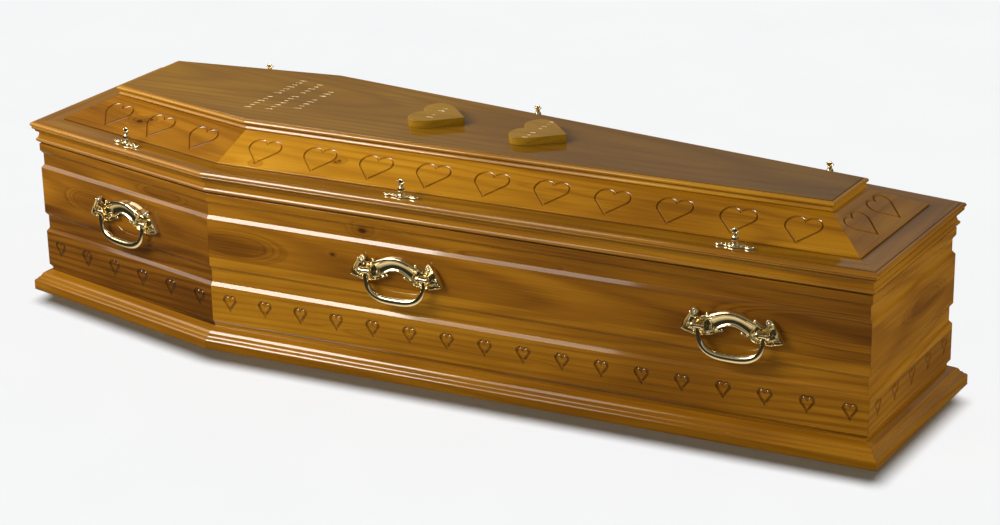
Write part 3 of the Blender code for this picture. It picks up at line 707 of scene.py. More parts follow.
def tube_mesh(name, outline, radius):
    """A closed round tube along an outline, to cut a groove."""
    curve = bpy.data.curves.new(name, "CURVE")
    curve.dimensions = "2D"
    curve.fill_mode = "NONE"
    curve.bevel_depth = radius
    curve.bevel_resolution = CUTTER_RESOLUTION
    spline = curve.splines.new("POLY")
    spline.points.add(len(outline) - 1)
    for point, place in zip(spline.points, outline):
        point.co = (place[0], place[1], 0, 1)
    spline.use_cyclic_u = True
    source = bpy.data.objects.new(name, curve)
    bpy.context.scene.collection.objects.link(source)
    mesh = evaluated_mesh(source, name)
    shape = bmesh.new()
    shape.from_mesh(mesh)
    bmesh.ops.remove_doubles(shape, verts=shape.verts, dist=1e-6)
    bmesh.ops.recalc_face_normals(shape, faces=shape.faces)
    shape.to_mesh(mesh)
    shape.free()
    return mesh


def heart_row(name, outline, radius, count, pitch, place, material):
    """Tubes for a row of hearts centred on a place, with the material of a groove."""
    ring = tube_mesh(name, outline, radius)
    pieces = []
    for index in range(count):
        shift = (index - (count - 1) / 2) * pitch
        pieces.append((ring, place @ Matrix.Translation((shift, 0, 0))))
    mesh = joined_mesh(name, pieces)
    mesh.materials.clear()
    mesh.materials.append(material)
    return mesh


def stroke_row(name, groups, lengths, material):
    """Slanting leaf-shaped strokes in two groups along Y, to cut into a level face."""
    strokes = sum(groups)
    extent = (strokes - 1) * STROKE_PITCH + WORD_SPACE
    pieces = []
    for index in range(strokes):
        place = index * STROKE_PITCH - extent / 2
        if index >= groups[0]:
            place += WORD_SPACE
        half = lengths[index % len(lengths)] / 2
        points = []
        for side in (1, -1):
            for step in range(12):
                share = -side + 2 * side * step / 12
                width = STROKE_WIDTH / 2 * (1 - share ** 4) * (1 + 0.25 * share)
                points.append((half * share, side * width + STROKE_SLANT * half * share))
        blade = slab_mesh("stroke", points, 2 * STROKE_DEPTH)
        pieces.append((blade, Matrix.Translation((0, place, -STROKE_DEPTH))))
    mesh = joined_mesh(name, pieces)
    mesh.materials.append(material)
    return mesh


def moved(mesh, place):
    """The mesh itself, moved by a matrix."""
    mesh.transform(place)
    return mesh


# Materials


def add_node(tree, kind, attributes=(), inputs=()):
    """A node with attributes and inputs; an input is a value or another node's output."""
    made = tree.nodes.new(kind)
    for name, value in dict(attributes).items():
        setattr(made, name, value)
    for name, value in dict(inputs).items():
        if isinstance(value, bpy.types.NodeSocket):
            tree.links.new(value, made.inputs[name])
        else:
            made.inputs[name].default_value = value
    return made


def calculate(tree, operation, *values, clamp=False):
    """The result of a sum on values or outputs."""
    inputs = dict(enumerate(values))
    settings = {"operation": operation, "use_clamp": clamp}
    return add_node(tree, "ShaderNodeMath", settings, inputs).outputs[0]


def noise(tree, place, stretch, detail, roughness=0.5, offset=(0.0, 0.0, 0.0)):
    """Noise from 0 to 1 at a place that is stretched and shifted first."""
    mapped = add_node(tree, "ShaderNodeMapping", (), {
        "Vector": place, "Location": offset, "Scale": stretch})
    made = add_node(tree, "ShaderNodeTexNoise", {"noise_dimensions": "3D"}, {
        "Vector": mapped.outputs[0], "Scale": 1.0, "Detail": detail, "Roughness": roughness})
    return made.outputs["Fac"]


def start_material(name):
    """A new material, its node tree and its shader."""
    material = bpy.data.materials.new(name)
    material.use_nodes = True
    tree = material.node_tree
    return material, tree, tree.nodes["Principled BSDF"]


def colour_ramp(tree, factor, stops):
    """A blend through several colours; stops are (place, colour)."""
    ramp = add_node(tree, "ShaderNodeValToRGB", (), {"Fac": factor})
    band = ramp.color_ramp
    while len(band.elements) < len(stops):
        band.elements.new(0.5)
    for element, (place, colour) in zip(band.elements, stops):
        element.position = place
        element.color = (*colour, 1.0)
    return ramp.outputs["Color"]


# Colours of the wood from its darkest line to its lightest
WOOD_TONES = (
    (0.00, (0.040, 0.0125, 0.0010)),
    (0.25, (0.110, 0.0370, 0.0018)),
    (0.50, (0.225, 0.0870, 0.0035)),
    (0.75, (0.360, 0.1600, 0.0070)),
    (1.00, (0.530, 0.2750, 0.0180)),
)


def wood_material(name, seed, tone, centre, taper=0.05, contrast=1.0, planks=(), knots=(), figures=(),
                  shade=(1.0, 1.0, 1.0), painted_falloff=0.0):
    """Lacquered wood with its grain along X.

    The growth rings run round an axis that passes the board at a centre in Y and Z and leans
    along X by the taper.  Planks are (height, tone step), knots are (X, Y, radius), figures are
    (X, Y, half length, half height, tone step).  The painted falloff is painted shade: the tone
    falls along X, standing in for the lamps' light falling off toward the foot.
    """
    material, tree, shader = start_material(name)
    local = add_node(tree, "ShaderNodeTexCoord").outputs["Object"]
    parts = add_node(tree, "ShaderNodeSeparateXYZ", (), {0: local})
    x, y, z = parts.outputs[0], parts.outputs[1], parts.outputs[2]
    shift = calculate(tree, "MULTIPLY", 0.0, 0.0)
    # Painted shade: the tone falls along X by the painted falloff, for the lamps' light falling off toward
    # the foot
    value = calculate(tree, "MULTIPLY_ADD", x, painted_falloff, tone)
    for height, step in planks:
        above = calculate(tree, "GREATER_THAN", y, height)
        shift = calculate(tree, "MULTIPLY_ADD", above, 3.7, shift)
        value = calculate(tree, "MULTIPLY_ADD", above, step, value)
    offset = add_node(tree, "ShaderNodeCombineXYZ", (), {0: shift, 1: shift, 2: shift})
    place = add_node(tree, "ShaderNodeVectorMath", {"operation": "ADD"}, {
        0: local, 1: offset.outputs[0]}).outputs[0]
    bend_y = noise(tree, place, (1.5, 4.0, 4.0), 1.5, 0.5, (seed, 0.0, 0.0))
    bend_z = noise(tree, place, (1.0, 3.0, 3.0), 1.5, 0.5, (0.0, seed, 4.0))
    y_part = calculate(tree, "SUBTRACT", y, centre[0])
    y_part = calculate(tree, "MULTIPLY_ADD", bend_y, 0.024, y_part)
    z_part = calculate(tree, "SUBTRACT", z, centre[1])
    z_part = calculate(tree, "MULTIPLY_ADD", x, taper, z_part)
    z_part = calculate(tree, "MULTIPLY_ADD", bend_z, 0.040, z_part)
    z_part = calculate(tree, "MULTIPLY_ADD", shift, 0.02, z_part)
    ring_axis = add_node(tree, "ShaderNodeCombineXYZ", (), {1: y_part, 2: z_part})
    radius = add_node(tree, "ShaderNodeVectorMath", {"operation": "LENGTH"}, {
        0: ring_axis.outputs[0]}).outputs["Value"]
    for knot_x, knot_y, knot_radius in knots:
        across = calculate(tree, "MULTIPLY", calculate(tree, "SUBTRACT", x, knot_x), 0.6)
        above = calculate(tree, "SUBTRACT", y, knot_y)
        spread = add_node(tree, "ShaderNodeCombineXYZ", (), {0: across, 1: above})
        distance = add_node(tree, "ShaderNodeVectorMath", {"operation": "LENGTH"}, {
            0: spread.outputs[0]}).outputs["Value"]
        bulge = add_node(tree, "ShaderNodeMapRange", {"interpolation_type": "SMOOTHERSTEP"}, {
            "Value": distance, "From Min": 0.0, "From Max": 4.5 * knot_radius,
            "To Min": 1.0, "To Max": 0.0}).outputs["Result"]
        core = add_node(tree, "ShaderNodeMapRange", {"interpolation_type": "SMOOTHSTEP"}, {
            "Value": distance, "From Min": 0.3 * knot_radius, "From Max": 1.1 * knot_radius,
            "To Min": 1.0, "To Max": 0.0}).outputs["Result"]
        radius = calculate(tree, "MULTIPLY_ADD", bulge, 4.0 * knot_radius, radius)
        value = calculate(tree, "MULTIPLY_ADD", bulge, -0.14, value)
        value = calculate(tree, "MULTIPLY_ADD", core, -0.36, value)
    for middle_x, middle_y, half_length, half_height, step in figures:
        across = calculate(tree, "DIVIDE", calculate(tree, "SUBTRACT", x, middle_x), half_length)
        above = calculate(tree, "DIVIDE", calculate(tree, "SUBTRACT", y, middle_y), half_height)
        above = calculate(tree, "MULTIPLY_ADD", bend_y, 0.9, calculate(tree, "SUBTRACT", above, 0.45))
        spread = add_node(tree, "ShaderNodeCombineXYZ", (), {0: across, 1: above})
        distance = add_node(tree, "ShaderNodeVectorMath", {"operation": "LENGTH"}, {
            0: spread.outputs[0]}).outputs["Value"]
        inside = add_node(tree, "ShaderNodeMapRange", {"interpolation_type": "SMOOTHSTEP"}, {
            "Value": distance, "From Min": 0.55, "From Max": 1.05,
            "To Min": 1.0, "To Max": 0.0}).outputs["Result"]
        edge = calculate(tree, "ABSOLUTE", calculate(tree, "SUBTRACT", distance, 1.0))
        line = add_node(tree, "ShaderNodeMapRange", {"interpolation_type": "SMOOTHSTEP"}, {
            "Value": edge, "From Min": 0.0, "From Max": 0.10,
            "To Min": 1.0, "To Max": 0.0}).outputs["Result"]
        radius = calculate(tree, "MULTIPLY_ADD", inside, half_height, radius)
        value = calculate(tree, "MULTIPLY_ADD", inside, step, value)
        value = calculate(tree, "MULTIPLY_ADD", line, 0.6 * step, value)
    fibre = noise(tree, place, (6.0, 330.0, 330.0), 4.0, 0.65, (seed, 2.0, 0.0))
    streak = noise(tree, place, (1.5, 90.0, 90.0), 3.0, 0.6, (seed, 7.0, 1.0))
    band = noise(tree, place, (1.1, 17.0, 17.0), 2.0, 0.5, (seed, 4.0, 9.0))
    cloud = noise(tree, place, (2.2, 7.0, 7.0), 2.0, 0.5, (2.0, seed, 3.0))
    phase = calculate(tree, "MULTIPLY_ADD", radius, 520.0, calculate(tree, "MULTIPLY", streak, 2.2))
    ring = calculate(tree, "MULTIPLY_ADD", calculate(tree, "SINE", phase), 0.5, 0.5)
    ring = calculate(tree, "POWER", ring, 2.5)
    ring = calculate(tree, "MULTIPLY", ring, calculate(tree, "MULTIPLY_ADD", cloud, 1.8, -0.35))
    value = calculate(tree, "MULTIPLY_ADD", ring, -0.19 * contrast, value)
    for source, weight in ((fibre, 0.36), (streak, 0.22), (band, 0.20), (cloud, 0.72)):
        centred = calculate(tree, "SUBTRACT", source, 0.46)
        value = calculate(tree, "MULTIPLY_ADD", centred, weight * contrast, value)
    value = calculate(tree, "ADD", value, 0.0, clamp=True)
    # The tones scaled by the shade; on the top, the plaques and the flat rim this tint is a painted
    # reflection, the grey sheen of level lacquer
    stops = [(position, tuple(part * amount for part, amount in zip(colour, shade)))
             for position, colour in WOOD_TONES]
    tree.links.new(colour_ramp(tree, value, stops), shader.inputs["Base Color"])
    rough = calculate(tree, "MULTIPLY_ADD", fibre, 0.20, 0.50)
    tree.links.new(rough, shader.inputs["Roughness"])
    bump = add_node(tree, "ShaderNodeBump", (), {
        "Strength": 0.08, "Distance": 0.0005, "Height": fibre})
    tree.links.new(bump.outputs[0], shader.inputs["Normal"])
    shader.inputs["Specular IOR Level"].default_value = 0.05
    shader.inputs["Coat Weight"].default_value = 0.9
    shader.inputs["Coat Roughness"].default_value = 0.06
    shader.inputs["Coat IOR"].default_value = 1.48
    return material


def brass_material(name):
    """Polished brass with a faint unevenness of the casting and slight tarnish."""
    material, tree, shader = start_material(name)
    local = add_node(tree, "ShaderNodeTexCoord").outputs["Object"]
    cast = noise(tree, local, (140.0, 140.0, 140.0), 3.0, 0.5)
    haze = noise(tree, local, (45.0, 45.0, 45.0), 2.0, 0.5, (3.0, 1.0, 2.0))
    stops = [(0.30, (0.86, 0.73, 0.45)), (0.75, (0.95, 0.86, 0.62))]
    tree.links.new(colour_ramp(tree, haze, stops), shader.inputs["Base Color"])
    rough = calculate(tree, "MULTIPLY_ADD", haze, 0.12, 0.035)
    tree.links.new(rough, shader.inputs["Roughness"])
    bump = add_node(tree, "ShaderNodeBump", (), {
        "Strength": 0.12, "Distance": 0.0008, "Height": cast})
    tree.links.new(bump.outputs[0], shader.inputs["Normal"])
    shader.inputs["Metallic"].default_value = 1.0
    return material


def stroke_highlight_material(name):
    """Cream in the engraved strokes, mottled with brown by noise: a painted highlight of their cut sides.
    """
    material, tree, shader = start_material(name)
    local = add_node(tree, "ShaderNodeTexCoord").outputs["Object"]
    patch = noise(tree, local, (260.0, 260.0, 260.0), 3.0, 0.6)
    stops = [(0.35, (0.30, 0.19, 0.075)), (0.52, (0.80, 0.70, 0.50)), (0.80, (0.95, 0.90, 0.76))]
    tree.links.new(colour_ramp(tree, patch, stops), shader.inputs["Base Color"])
    rough = calculate(tree, "MULTIPLY_ADD", patch, 0.20, 0.25)
    tree.links.new(rough, shader.inputs["Roughness"])
    return material


def floor_material():
    """Plain pale studio floor with a hardly visible mottle."""
    material, tree, shader = start_material("studio_floor")
    local = add_node(tree, "ShaderNodeTexCoord").outputs["Object"]
    mottle = noise(tree, local, (3.0, 3.0, 3.0), 2.0)
    stops = [(0.0, (0.542, 0.555, 0.575)), (1.0, (0.567, 0.580, 0.600))]
    tree.links.new(colour_ramp(tree, mottle, stops), shader.inputs["Base Color"])
    shader.inputs["Roughness"].default_value = 0.9
    shader.inputs["Specular IOR Level"].default_value = 0.1
    return material


# Pieces


def dress(name, mesh, place, materials, node, body, weighted=True):
    """Put a piece in place of a node of the frame and let it ride on a body."""
    piece = add_object("look_" + name, mesh, place)
    if materials:
        mesh.materials.clear()
        for material in materials:
            mesh.materials.append(material)
    mesh.shade_smooth()
    mesh.set_sharp_from_angle(angle=SHARP_ANGLE)
    if weighted:
        normals = piece.modifiers.new("even_normals", "WEIGHTED_NORMAL")
        normals.keep_sharp = True
        normals.weight = 100
    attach(piece, body)
    if node:
        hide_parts(node)
    return piece


BODY = "coffin"

# Tone of each wall, and its planks: height of a glue line and the step in tone above it
WALL_TONES = (0.21, 0.53, 0.50, 0.54, 0.48, 0.50)
WALL_PLANKS = (
    ((0.196, 0.18), (0.286, 0.08)),
    ((0.196, -0.12), (0.286, 0.06)),
    ((0.120, 0.04), (0.230, -0.04)),
    ((0.190, -0.10), (0.290, 0.06)),
    ((0.120, -0.03), (0.262, 0.05)),
    ((0.120, 0.04), (0.230, -0.05)),
)
WALL_KNOTS = (
    (),
    ((-0.353, 0.305, 0.0065), (-0.421, 0.246, 0.003)),
    (),
    ((0.210, 0.240, 0.005),),
    (),
    (),
)
WALL_FIGURES = (
    ((-0.10, 0.235, 0.090, 0.030, -0.12), (0.12, 0.300, 0.080, 0.016, -0.12)),
    ((-0.660, 0.232, 0.128, 0.034, -0.17), (-0.043, 0.292, 0.130, 0.012, -0.14),
     (0.640, 0.255, 0.260, 0.034, -0.07), (-0.180, 0.086, 0.300, 0.016, -0.05)),
    ((0.05, 0.235, 0.110, 0.028, -0.12),),
    ((-0.300, 0.250, 0.170, 0.030, -0.12), (0.450, 0.090, 0.260, 0.018, -0.07)),
    ((0.05, 0.235, 0.090, 0.026, -0.10),),
    ((-0.05, 0.240, 0.110, 0.028, -0.12),),
)
# Painted shade: fall of the tone toward the foot, per metre, standing in for the lamps' light falling off
# away from the head
WALL_PAINTED_FALLOFF = 0.16
SLOPE_PAINTED_FALLOFF = 0.17
TOP_PAINTED_FALLOFF = 0.08
# Share of the wood's red, green and blue that the top with its plaques and the flat rim keep: a painted
# reflection, the greyer sheen that level lacquer takes from its surroundings
TOP_PAINTED_REFLECTION = (0.88, 1.06, 1.10)
RIM_PAINTED_REFLECTION = (0.93, 1.02, 1.10)
SLOPE_TONES = (0.49, 0.64, 0.62, 0.62, 0.60, 0.60)
SLOPE_KNOTS = (
    ((-0.061, 0.049, 0.0065), (-0.036, 0.062, 0.0045)),
    ((-0.592, 0.014, 0.0040), (-0.413, 0.054, 0.0035), (-0.420, 0.049, 0.0030)),
    (),
    ((-0.100, 0.050, 0.005),),
    ((0.070, 0.040, 0.005),),
    (),
)
SLOPE_FIGURES = (
    ((-0.154, 0.050, 0.110, 0.016, -0.10),),
    ((0.250, 0.060, 0.300, 0.014, -0.05),),
    (),
    ((0.120, 0.045, 0.260, 0.015, -0.06),),
    ((-0.050, 0.060, 0.120, 0.015, -0.08),),
    (),
)


def dress_walls():
    """Six wall boards with eased edges and routed hearts with round bottoms."""
    outline = heart_outline(SMALL_HEART_WIDTH, SMALL_HEART_HEIGHT, SMALL_HEART_LOBE_START,
                            SMALL_HEART_ARC_STEPS)
    for side in SIDES:
        name = WALL_NODES[side]
        centre = (0.236, -0.09)
        taper = 0.035 if side % 2 else 0.05
        # Painted shade: the long walls darken toward the foot as the lamps' light falls off
        painted_falloff = -WALL_PAINTED_FALLOFF * footward(side) if side in (1, 3) else 0.0
        wood = wood_material("wood_" + name, 3.1 * side + 1.7, WALL_TONES[side], centre, taper,
                             1.0, WALL_PLANKS[side], WALL_KNOTS[side], WALL_FIGURES[side], painted_falloff=painted_falloff)
        # The groove wood is darker than the board's: painted shade in the routed hearts, with some stain
        # that gathers in the cut
        groove = wood_material("groove_" + name, 3.1 * side + 1.7, WALL_TONES[side] - 0.09, centre,
                               taper, 0.8, painted_falloff=painted_falloff)
        mesh = swept_mesh(name, side, wall_profile())
        mesh.materials.append(wood)
        start, end = side_span(side, 0)
        count = SMALL_HEART_COUNTS[side]
        pitch = (end - start - 2 * SMALL_HEART_MARGIN) / (count - 1)
        middle = (start + end) / 2 + SMALL_HEART_SHIFT * footward(side)
        height = LOWER_FACE_FOOT + SMALL_HEART_RISE
        place = Matrix.Translation((middle, height, SMALL_GROOVE_LIFT))
        cutter = heart_row(name + "_hearts", outline, SMALL_GROOVE, count, pitch, place, groove)
        mesh = carve(mesh, cutter)
        dress(name, mesh, side_frame(side), (), name, BODY)


def dress_mouldings():
    """Plinth, rim frame, flat rim and top moulding, each in six mitred lengths."""
    rings = (
        ("plinth", plinth_profile(), "side_wood", 0.52, (-0.05, -0.03)),
        ("rim_frame", rim_profile(), "lid_wood", 0.55, (0.28, -0.08)),
        ("top_moulding", top_profile(), "lid_wood", 0.66, (0.36, -0.20)),
    )
    for ring, profile, slot, tone, centre in rings:
        for side in SIDES:
            name = ring + "_" + PLACES[side]
            wood = wood_material("wood_" + name, 2.3 * side + len(ring), tone, centre, 0.03, 0.8)
            mesh = swept_mesh(name, side, profile)
            dress(name, mesh, side_frame(side), (wood,), name, BODY)
    boards = []
    for side in SIDES:
        name = "rim_flat_" + PLACES[side]
        # The flat rim's greyer tint is a painted reflection
        wood = wood_material("wood_" + name, 5.9 * side + 0.4, 0.46, (RIM_TOP - 0.12, -0.04), 0.05, 0.9,
                             shade=RIM_PAINTED_REFLECTION)
        mesh = swept_mesh(name, side, rim_board_profile())
        boards.append(dress(name, mesh, side_frame(side), (wood,), None, BODY))
    for board in boards:
        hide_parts("rim_board")


def dress_slopes():
    """Six sloping boards with routed hearts."""
    outline = heart_outline(LARGE_HEART_WIDTH, LARGE_HEART_HEIGHT, LARGE_HEART_LOBE_START,
                            LARGE_HEART_ARC_STEPS)
    for side in SIDES:
        name = "slope_" + PLACES[side]
        seed = 4.3 * side + 0.9
        centre = (0.03, -0.07)
        # Painted shade: the long slopes darken toward the foot as the lamps' light falls off
        painted_falloff = -SLOPE_PAINTED_FALLOFF * footward(side) if side in (1, 3) else 0.0
        wood = wood_material("wood_" + name, seed, SLOPE_TONES[side], centre, 0.04, 1.0, (),
                             SLOPE_KNOTS[side], SLOPE_FIGURES[side], painted_falloff=painted_falloff)
        # The groove wood is darker than the board's: painted shade in the routed hearts, with some stain
        # that gathers in the cut
        groove = wood_material("groove_" + name, seed, SLOPE_TONES[side] - 0.05, centre, 0.04, 0.7,
                               painted_falloff=painted_falloff)
        place = slope_frame(side)
        mesh = swept_mesh(name, side, slope_profile())
        moved(mesh, place.inverted() @ side_frame(side))
        mesh.materials.append(wood)
        shift = LARGE_HEART_SHIFT * footward(side)
        spot = Matrix.Translation((shift, LARGE_HEART_RISE, LARGE_GROOVE_LIFT))
        cutter = heart_row(name + "_hearts", outline, LARGE_GROOVE, LARGE_HEART_COUNTS[side],
                           LARGE_HEART_PITCHES[side], spot, groove)
        mesh = carve(mesh, cutter)
        dress(name, mesh, place, (), name, BODY)


def dress_top():
    """The flat top with its engraved rows, and the two heart plaques."""
    # The cream in the engraved strokes is a painted highlight of their cut sides
    stroke_highlight = stroke_highlight_material("stroke_painted_highlight")
    # The top board's greyer tint is a painted reflection, and its tone falls toward the foot as painted
    # shade
    wood = wood_material("wood_top_board", 8.2, 0.44, (0.05, -0.16), 0.05, 0.6, shade=TOP_PAINTED_REFLECTION,
                         painted_falloff=-TOP_PAINTED_FALLOFF)
    corners = [tuple(plan_corner(corner, -SLOPE_TOP_INSET - TOP_BOARD_INSET)) for corner in SIDES]
    mesh = slab_mesh("top_board", corners, TOP_BOARD_THICKNESS, ARRIS_RADIUS)
    mesh.materials.append(wood)
    for index, groups in enumerate(ROW_STROKES):
        row = stroke_row("row", groups, ROW_STROKE_LENGTHS, stroke_highlight)
        spot = (ROW_DISTANCES[index] - LENGTH / 2, 0, TOP_BOARD_THICKNESS)
        mesh = carve(mesh, moved(row, Matrix.Translation(spot)))
    place = Matrix.Translation((0, 0, LID_TOP - TOP_BOARD_THICKNESS))
    dress("top_board", mesh, place, (), "top_board", BODY)
    outline = heart_outline(PLAQUE_WIDTH, PLAQUE_LENGTH, PLAQUE_LOBE_START, PLAQUE_ARC_STEPS)
    turned = [(-y, x) for x, y in rounded_cheeks(outline)]
    turned = soften(turned, PLAQUE_TIP_RADIUS, ARRIS_STEPS, PLAQUE_TIP_TURN)
    for index, tip in enumerate(PLAQUE_TIPS):
        name = "heart_plaque_%d" % (index + 1)
        # The plaques' greyer tint is a painted reflection
        wood = wood_material("wood_" + name, 6.6 + index, 0.64, (0.02, -0.09), 0.05, 0.7,
                             shade=TOP_PAINTED_REFLECTION)
        mesh = slab_mesh(name, turned, PLAQUE_THICKNESS, PLAQUE_EDGE)
        mesh.materials.append(wood)
        row = stroke_row("row", PLAQUE_STROKES[index], PLAQUE_STROKE_LENGTHS[index], stroke_highlight)
        spot = (-PLAQUE_ROW_FROM_TIP, 0, PLAQUE_THICKNESS)
        mesh = carve(mesh, moved(row, Matrix.Translation(spot)))
        place = Matrix.Translation((tip, 0, LID_TOP + GAP))
        dress(name, mesh, place, (), name, BODY)


def dress_bottom():
    """The bottom board of the frame keeps its shape and gets the wood."""
    wood = wood_material("wood_bottom_board", 9.4, 0.42, (0.0, -0.10), 0.05)
    board = frame["nodes"]["bottom_board"]
    for holder in board.material_slots:
        holder.material = wood


# Fan of a handle's back: its side edges as (share of the way down, out, up)
FAN_INNER_EDGE = ((0.00, 0.0480, 0.0262), (0.70, 0.0316, -0.0080), (1.00, 0.0180, -0.0042))
FAN_OUTER_EDGE = ((0.00, 0.0845, 0.0240), (0.50, 0.0960, 0.0060), (1.00, 0.1045, -0.0125))
FAN_DIP = 0.0090
FAN_SAG = 0.0135
FAN_SCALLOPS = 5
FAN_SCALLOP_DEPTH = 0.0012
FAN_OUTER_SWELL = 0.42
FAN_RELIEF = (
    (0.0000, 0.0060),
    (0.0004, 0.0076),
    (0.0010, 0.0085),
    (0.0018, 0.0087),
    (0.0025, 0.0080),
    (0.0030, 0.0062),
    (0.0036, 0.0048),
    (0.0046, 0.0047),
    (0.0054, 0.0056),
    (0.0062, 0.0056),
    (0.0070, 0.0044),
    (0.0085, 0.0040),
    (0.0130, 0.0048),
)
FAN_INNER_STEPS = 9


def relief_height(distance):
    """Height of a fan at a distance in from its border."""
    for (near, low), (far, high) in zip(FAN_RELIEF, FAN_RELIEF[1:]):
        if distance <= far:
            share = max(0.0, distance - near) / (far - near)
            return low + (high - low) * share
    return FAN_RELIEF[-1][1]


def edge_point(edge, share):
    """A point of a side edge at a share of the way down."""
    for (near, *first), (far, *last) in zip(edge, edge[1:]):
        if share <= far:
            return Vector(first).lerp(Vector(last), (share - near) / (far - near))
    return Vector(edge[-1][1:])


def spaced(length, steps):
    """Shares of a length: close together near both ends, even between."""
    border = [distance / length for distance, _ in FAN_RELIEF[:-1]]
    inner = 1 - 2 * border[-1]
    middle = [border[-1] + inner * step / steps for step in range(1, steps)]
    return border + middle + [1 - share for share in reversed(border)]


def fan_mesh(hand):
    """One fan of a handle's back: a flared shell with a rim around a sunk panel.

    The hand is 1 or -1.
    """
    height = FAN_INNER_EDGE[0][2] - FAN_OUTER_EDGE[-1][2]
    width = FAN_OUTER_EDGE[-1][1] - FAN_INNER_EDGE[1][1]
    rows = []
    for down in spaced(height, FAN_INNER_STEPS):
        inner = edge_point(FAN_INNER_EDGE, down)
        outer = edge_point(FAN_OUTER_EDGE, down)
        row = []
        for across in spaced(width, FAN_INNER_STEPS + 8):
            place = inner.lerp(outer, across)
            bow = math.sin(math.pi * across)
            scallop = FAN_SCALLOP_DEPTH * abs(math.sin(math.pi * FAN_SCALLOPS * across))
            fall = FAN_DIP * bow * (1 - down) ** 2 + (FAN_SAG * bow + scallop) * down
            depth = min(down * height, (1 - down) * height, across * width, (1 - across) * width)
            swell = 1 + FAN_OUTER_SWELL * across ** 6
            row.append((hand * place.x, place.y - fall, relief_height(depth) * swell))
        rows.append(row)
    return grid_mesh("fan", rows, skirt=0.0)


# Arch between the fans: half spans and heights of its edges, and its section across
ARCH_UPPER = (0.0520, 0.0200, 0.0162)
ARCH_LOWER = (0.0325, -0.0085, 0.0140)
ARCH_THICKNESS = 0.0138
ARCH_SECTION = (
    (0.00, 0.48),
    (0.02, 0.66),
    (0.06, 0.76),
    (0.11, 0.78),
    (0.15, 0.70),
    (0.19, 0.62),
    (0.30, 0.57),
    (0.42, 0.56),
    (0.55, 0.60),
    (0.66, 0.68),
    (0.74, 0.78),
    (0.78, 0.92),
    (0.83, 1.00),
    (0.90, 1.00),
    (0.96, 0.92),
    (1.00, 0.74),
)
ARCH_STEPS = 30


def arch_mesh():
    """The broad arch, hollowed along its face between two rims."""
    rows = []
    for step in range(ARCH_STEPS + 1):
        share = 1 - 2 * step / ARCH_STEPS
        bend = math.cos(share * math.pi / 2)
        upper = Vector((ARCH_UPPER[0] * share, ARCH_UPPER[1] + ARCH_UPPER[2] * bend))
        lower = Vector((ARCH_LOWER[0] * share, ARCH_LOWER[1] + ARCH_LOWER[2] * bend))
        dip = 1.0 - 0.12 * abs(share) ** 6
        row = []
        for across, lift in ARCH_SECTION:
            place = lower.lerp(upper, across)
            row.append((place.x, place.y, ARCH_THICKNESS * lift * dip))
        rows.append(row)
    return grid_mesh("arch", rows, skirt=0.0)


def bent_tube(name, path, squash, sides=14):
    """A bar along a path of (x, y, radius) in one plane, deeper or flatter out of it."""
    rows = []
    for index, (x, y, radius) in enumerate(path):
        before = path[max(index - 1, 0)]
        after = path[min(index + 1, len(path) - 1)]
        direction = Vector((after[0] - before[0], after[1] - before[1])).normalized()
        normal = Vector((-direction.y, direction.x))
        row = []
        for step in range(sides):
            angle = 2 * math.pi * step / sides
            across = normal * radius * math.cos(angle)
            row.append((x + across.x, y + across.y, radius * squash * math.sin(angle)))
        rows.append(row)
    return closed_tube(name, rows)


def bail_mesh():
    """The hanging bail with a ringed barrel at each pivot."""
    path = []
    for step in range(BAIL_STEPS + 1):
        angle = math.pi * step / BAIL_STEPS
        reach = abs(math.cos(angle)) ** (2 / BAIL_SHAPE_POWER)
        drop = math.sin(angle) ** (2 / BAIL_SHAPE_POWER)
        side = math.copysign(1, math.cos(angle))
        top_pull = (BAIL_SPREAD - PIVOT_SPACING / 2) * (1 - drop)
        x = side * (BAIL_SPREAD - top_pull) * reach if drop > 1e-6 else side * PIVOT_SPACING / 2
        radius = BAIL_LEG_RADIUS + (BAIL_GRIP_RADIUS - BAIL_LEG_RADIUS) * drop ** 2
        path.append((x, -BAIL_DROP * drop, radius))
    pieces = [(bent_tube("bar", path, 0.92), Matrix.Identity(4))]
    half = BARREL_LENGTH / 2
    groove = BARREL_RADIUS - 0.0007
    barrel = [
        (0.0, half),
        (BARREL_RADIUS - 0.0009, half),
        (BARREL_RADIUS, half - 0.0009),
        (BARREL_RADIUS, 0.0058),
        (groove, 0.0052),
        (groove, 0.0044),
        (BARREL_RADIUS, 0.0038),
    ]
    profile = barrel + [(radius, -height) for radius, height in reversed(barrel)]
    turned = turned_mesh("barrel", profile, 20)
    lay = Matrix.Rotation(math.pi / 2, 4, "Y")
    for hand in (1, -1):
        pieces.append((turned, Matrix.Translation((hand * PIVOT_SPACING / 2, 0, 0)) @ lay))
    return joined_mesh("bail", pieces)


# Housing of a pivot: cheeks beside the barrel and a roof over it
CHEEK_THICKNESS = 0.0030
CHEEK_ROOM = 0.0008
ROOF_INNER = 0.0060
ROOF_OUTER = 0.0084
ROOF_START = 54
ROOF_END = 186
HOUSING_BACK = 0.0040


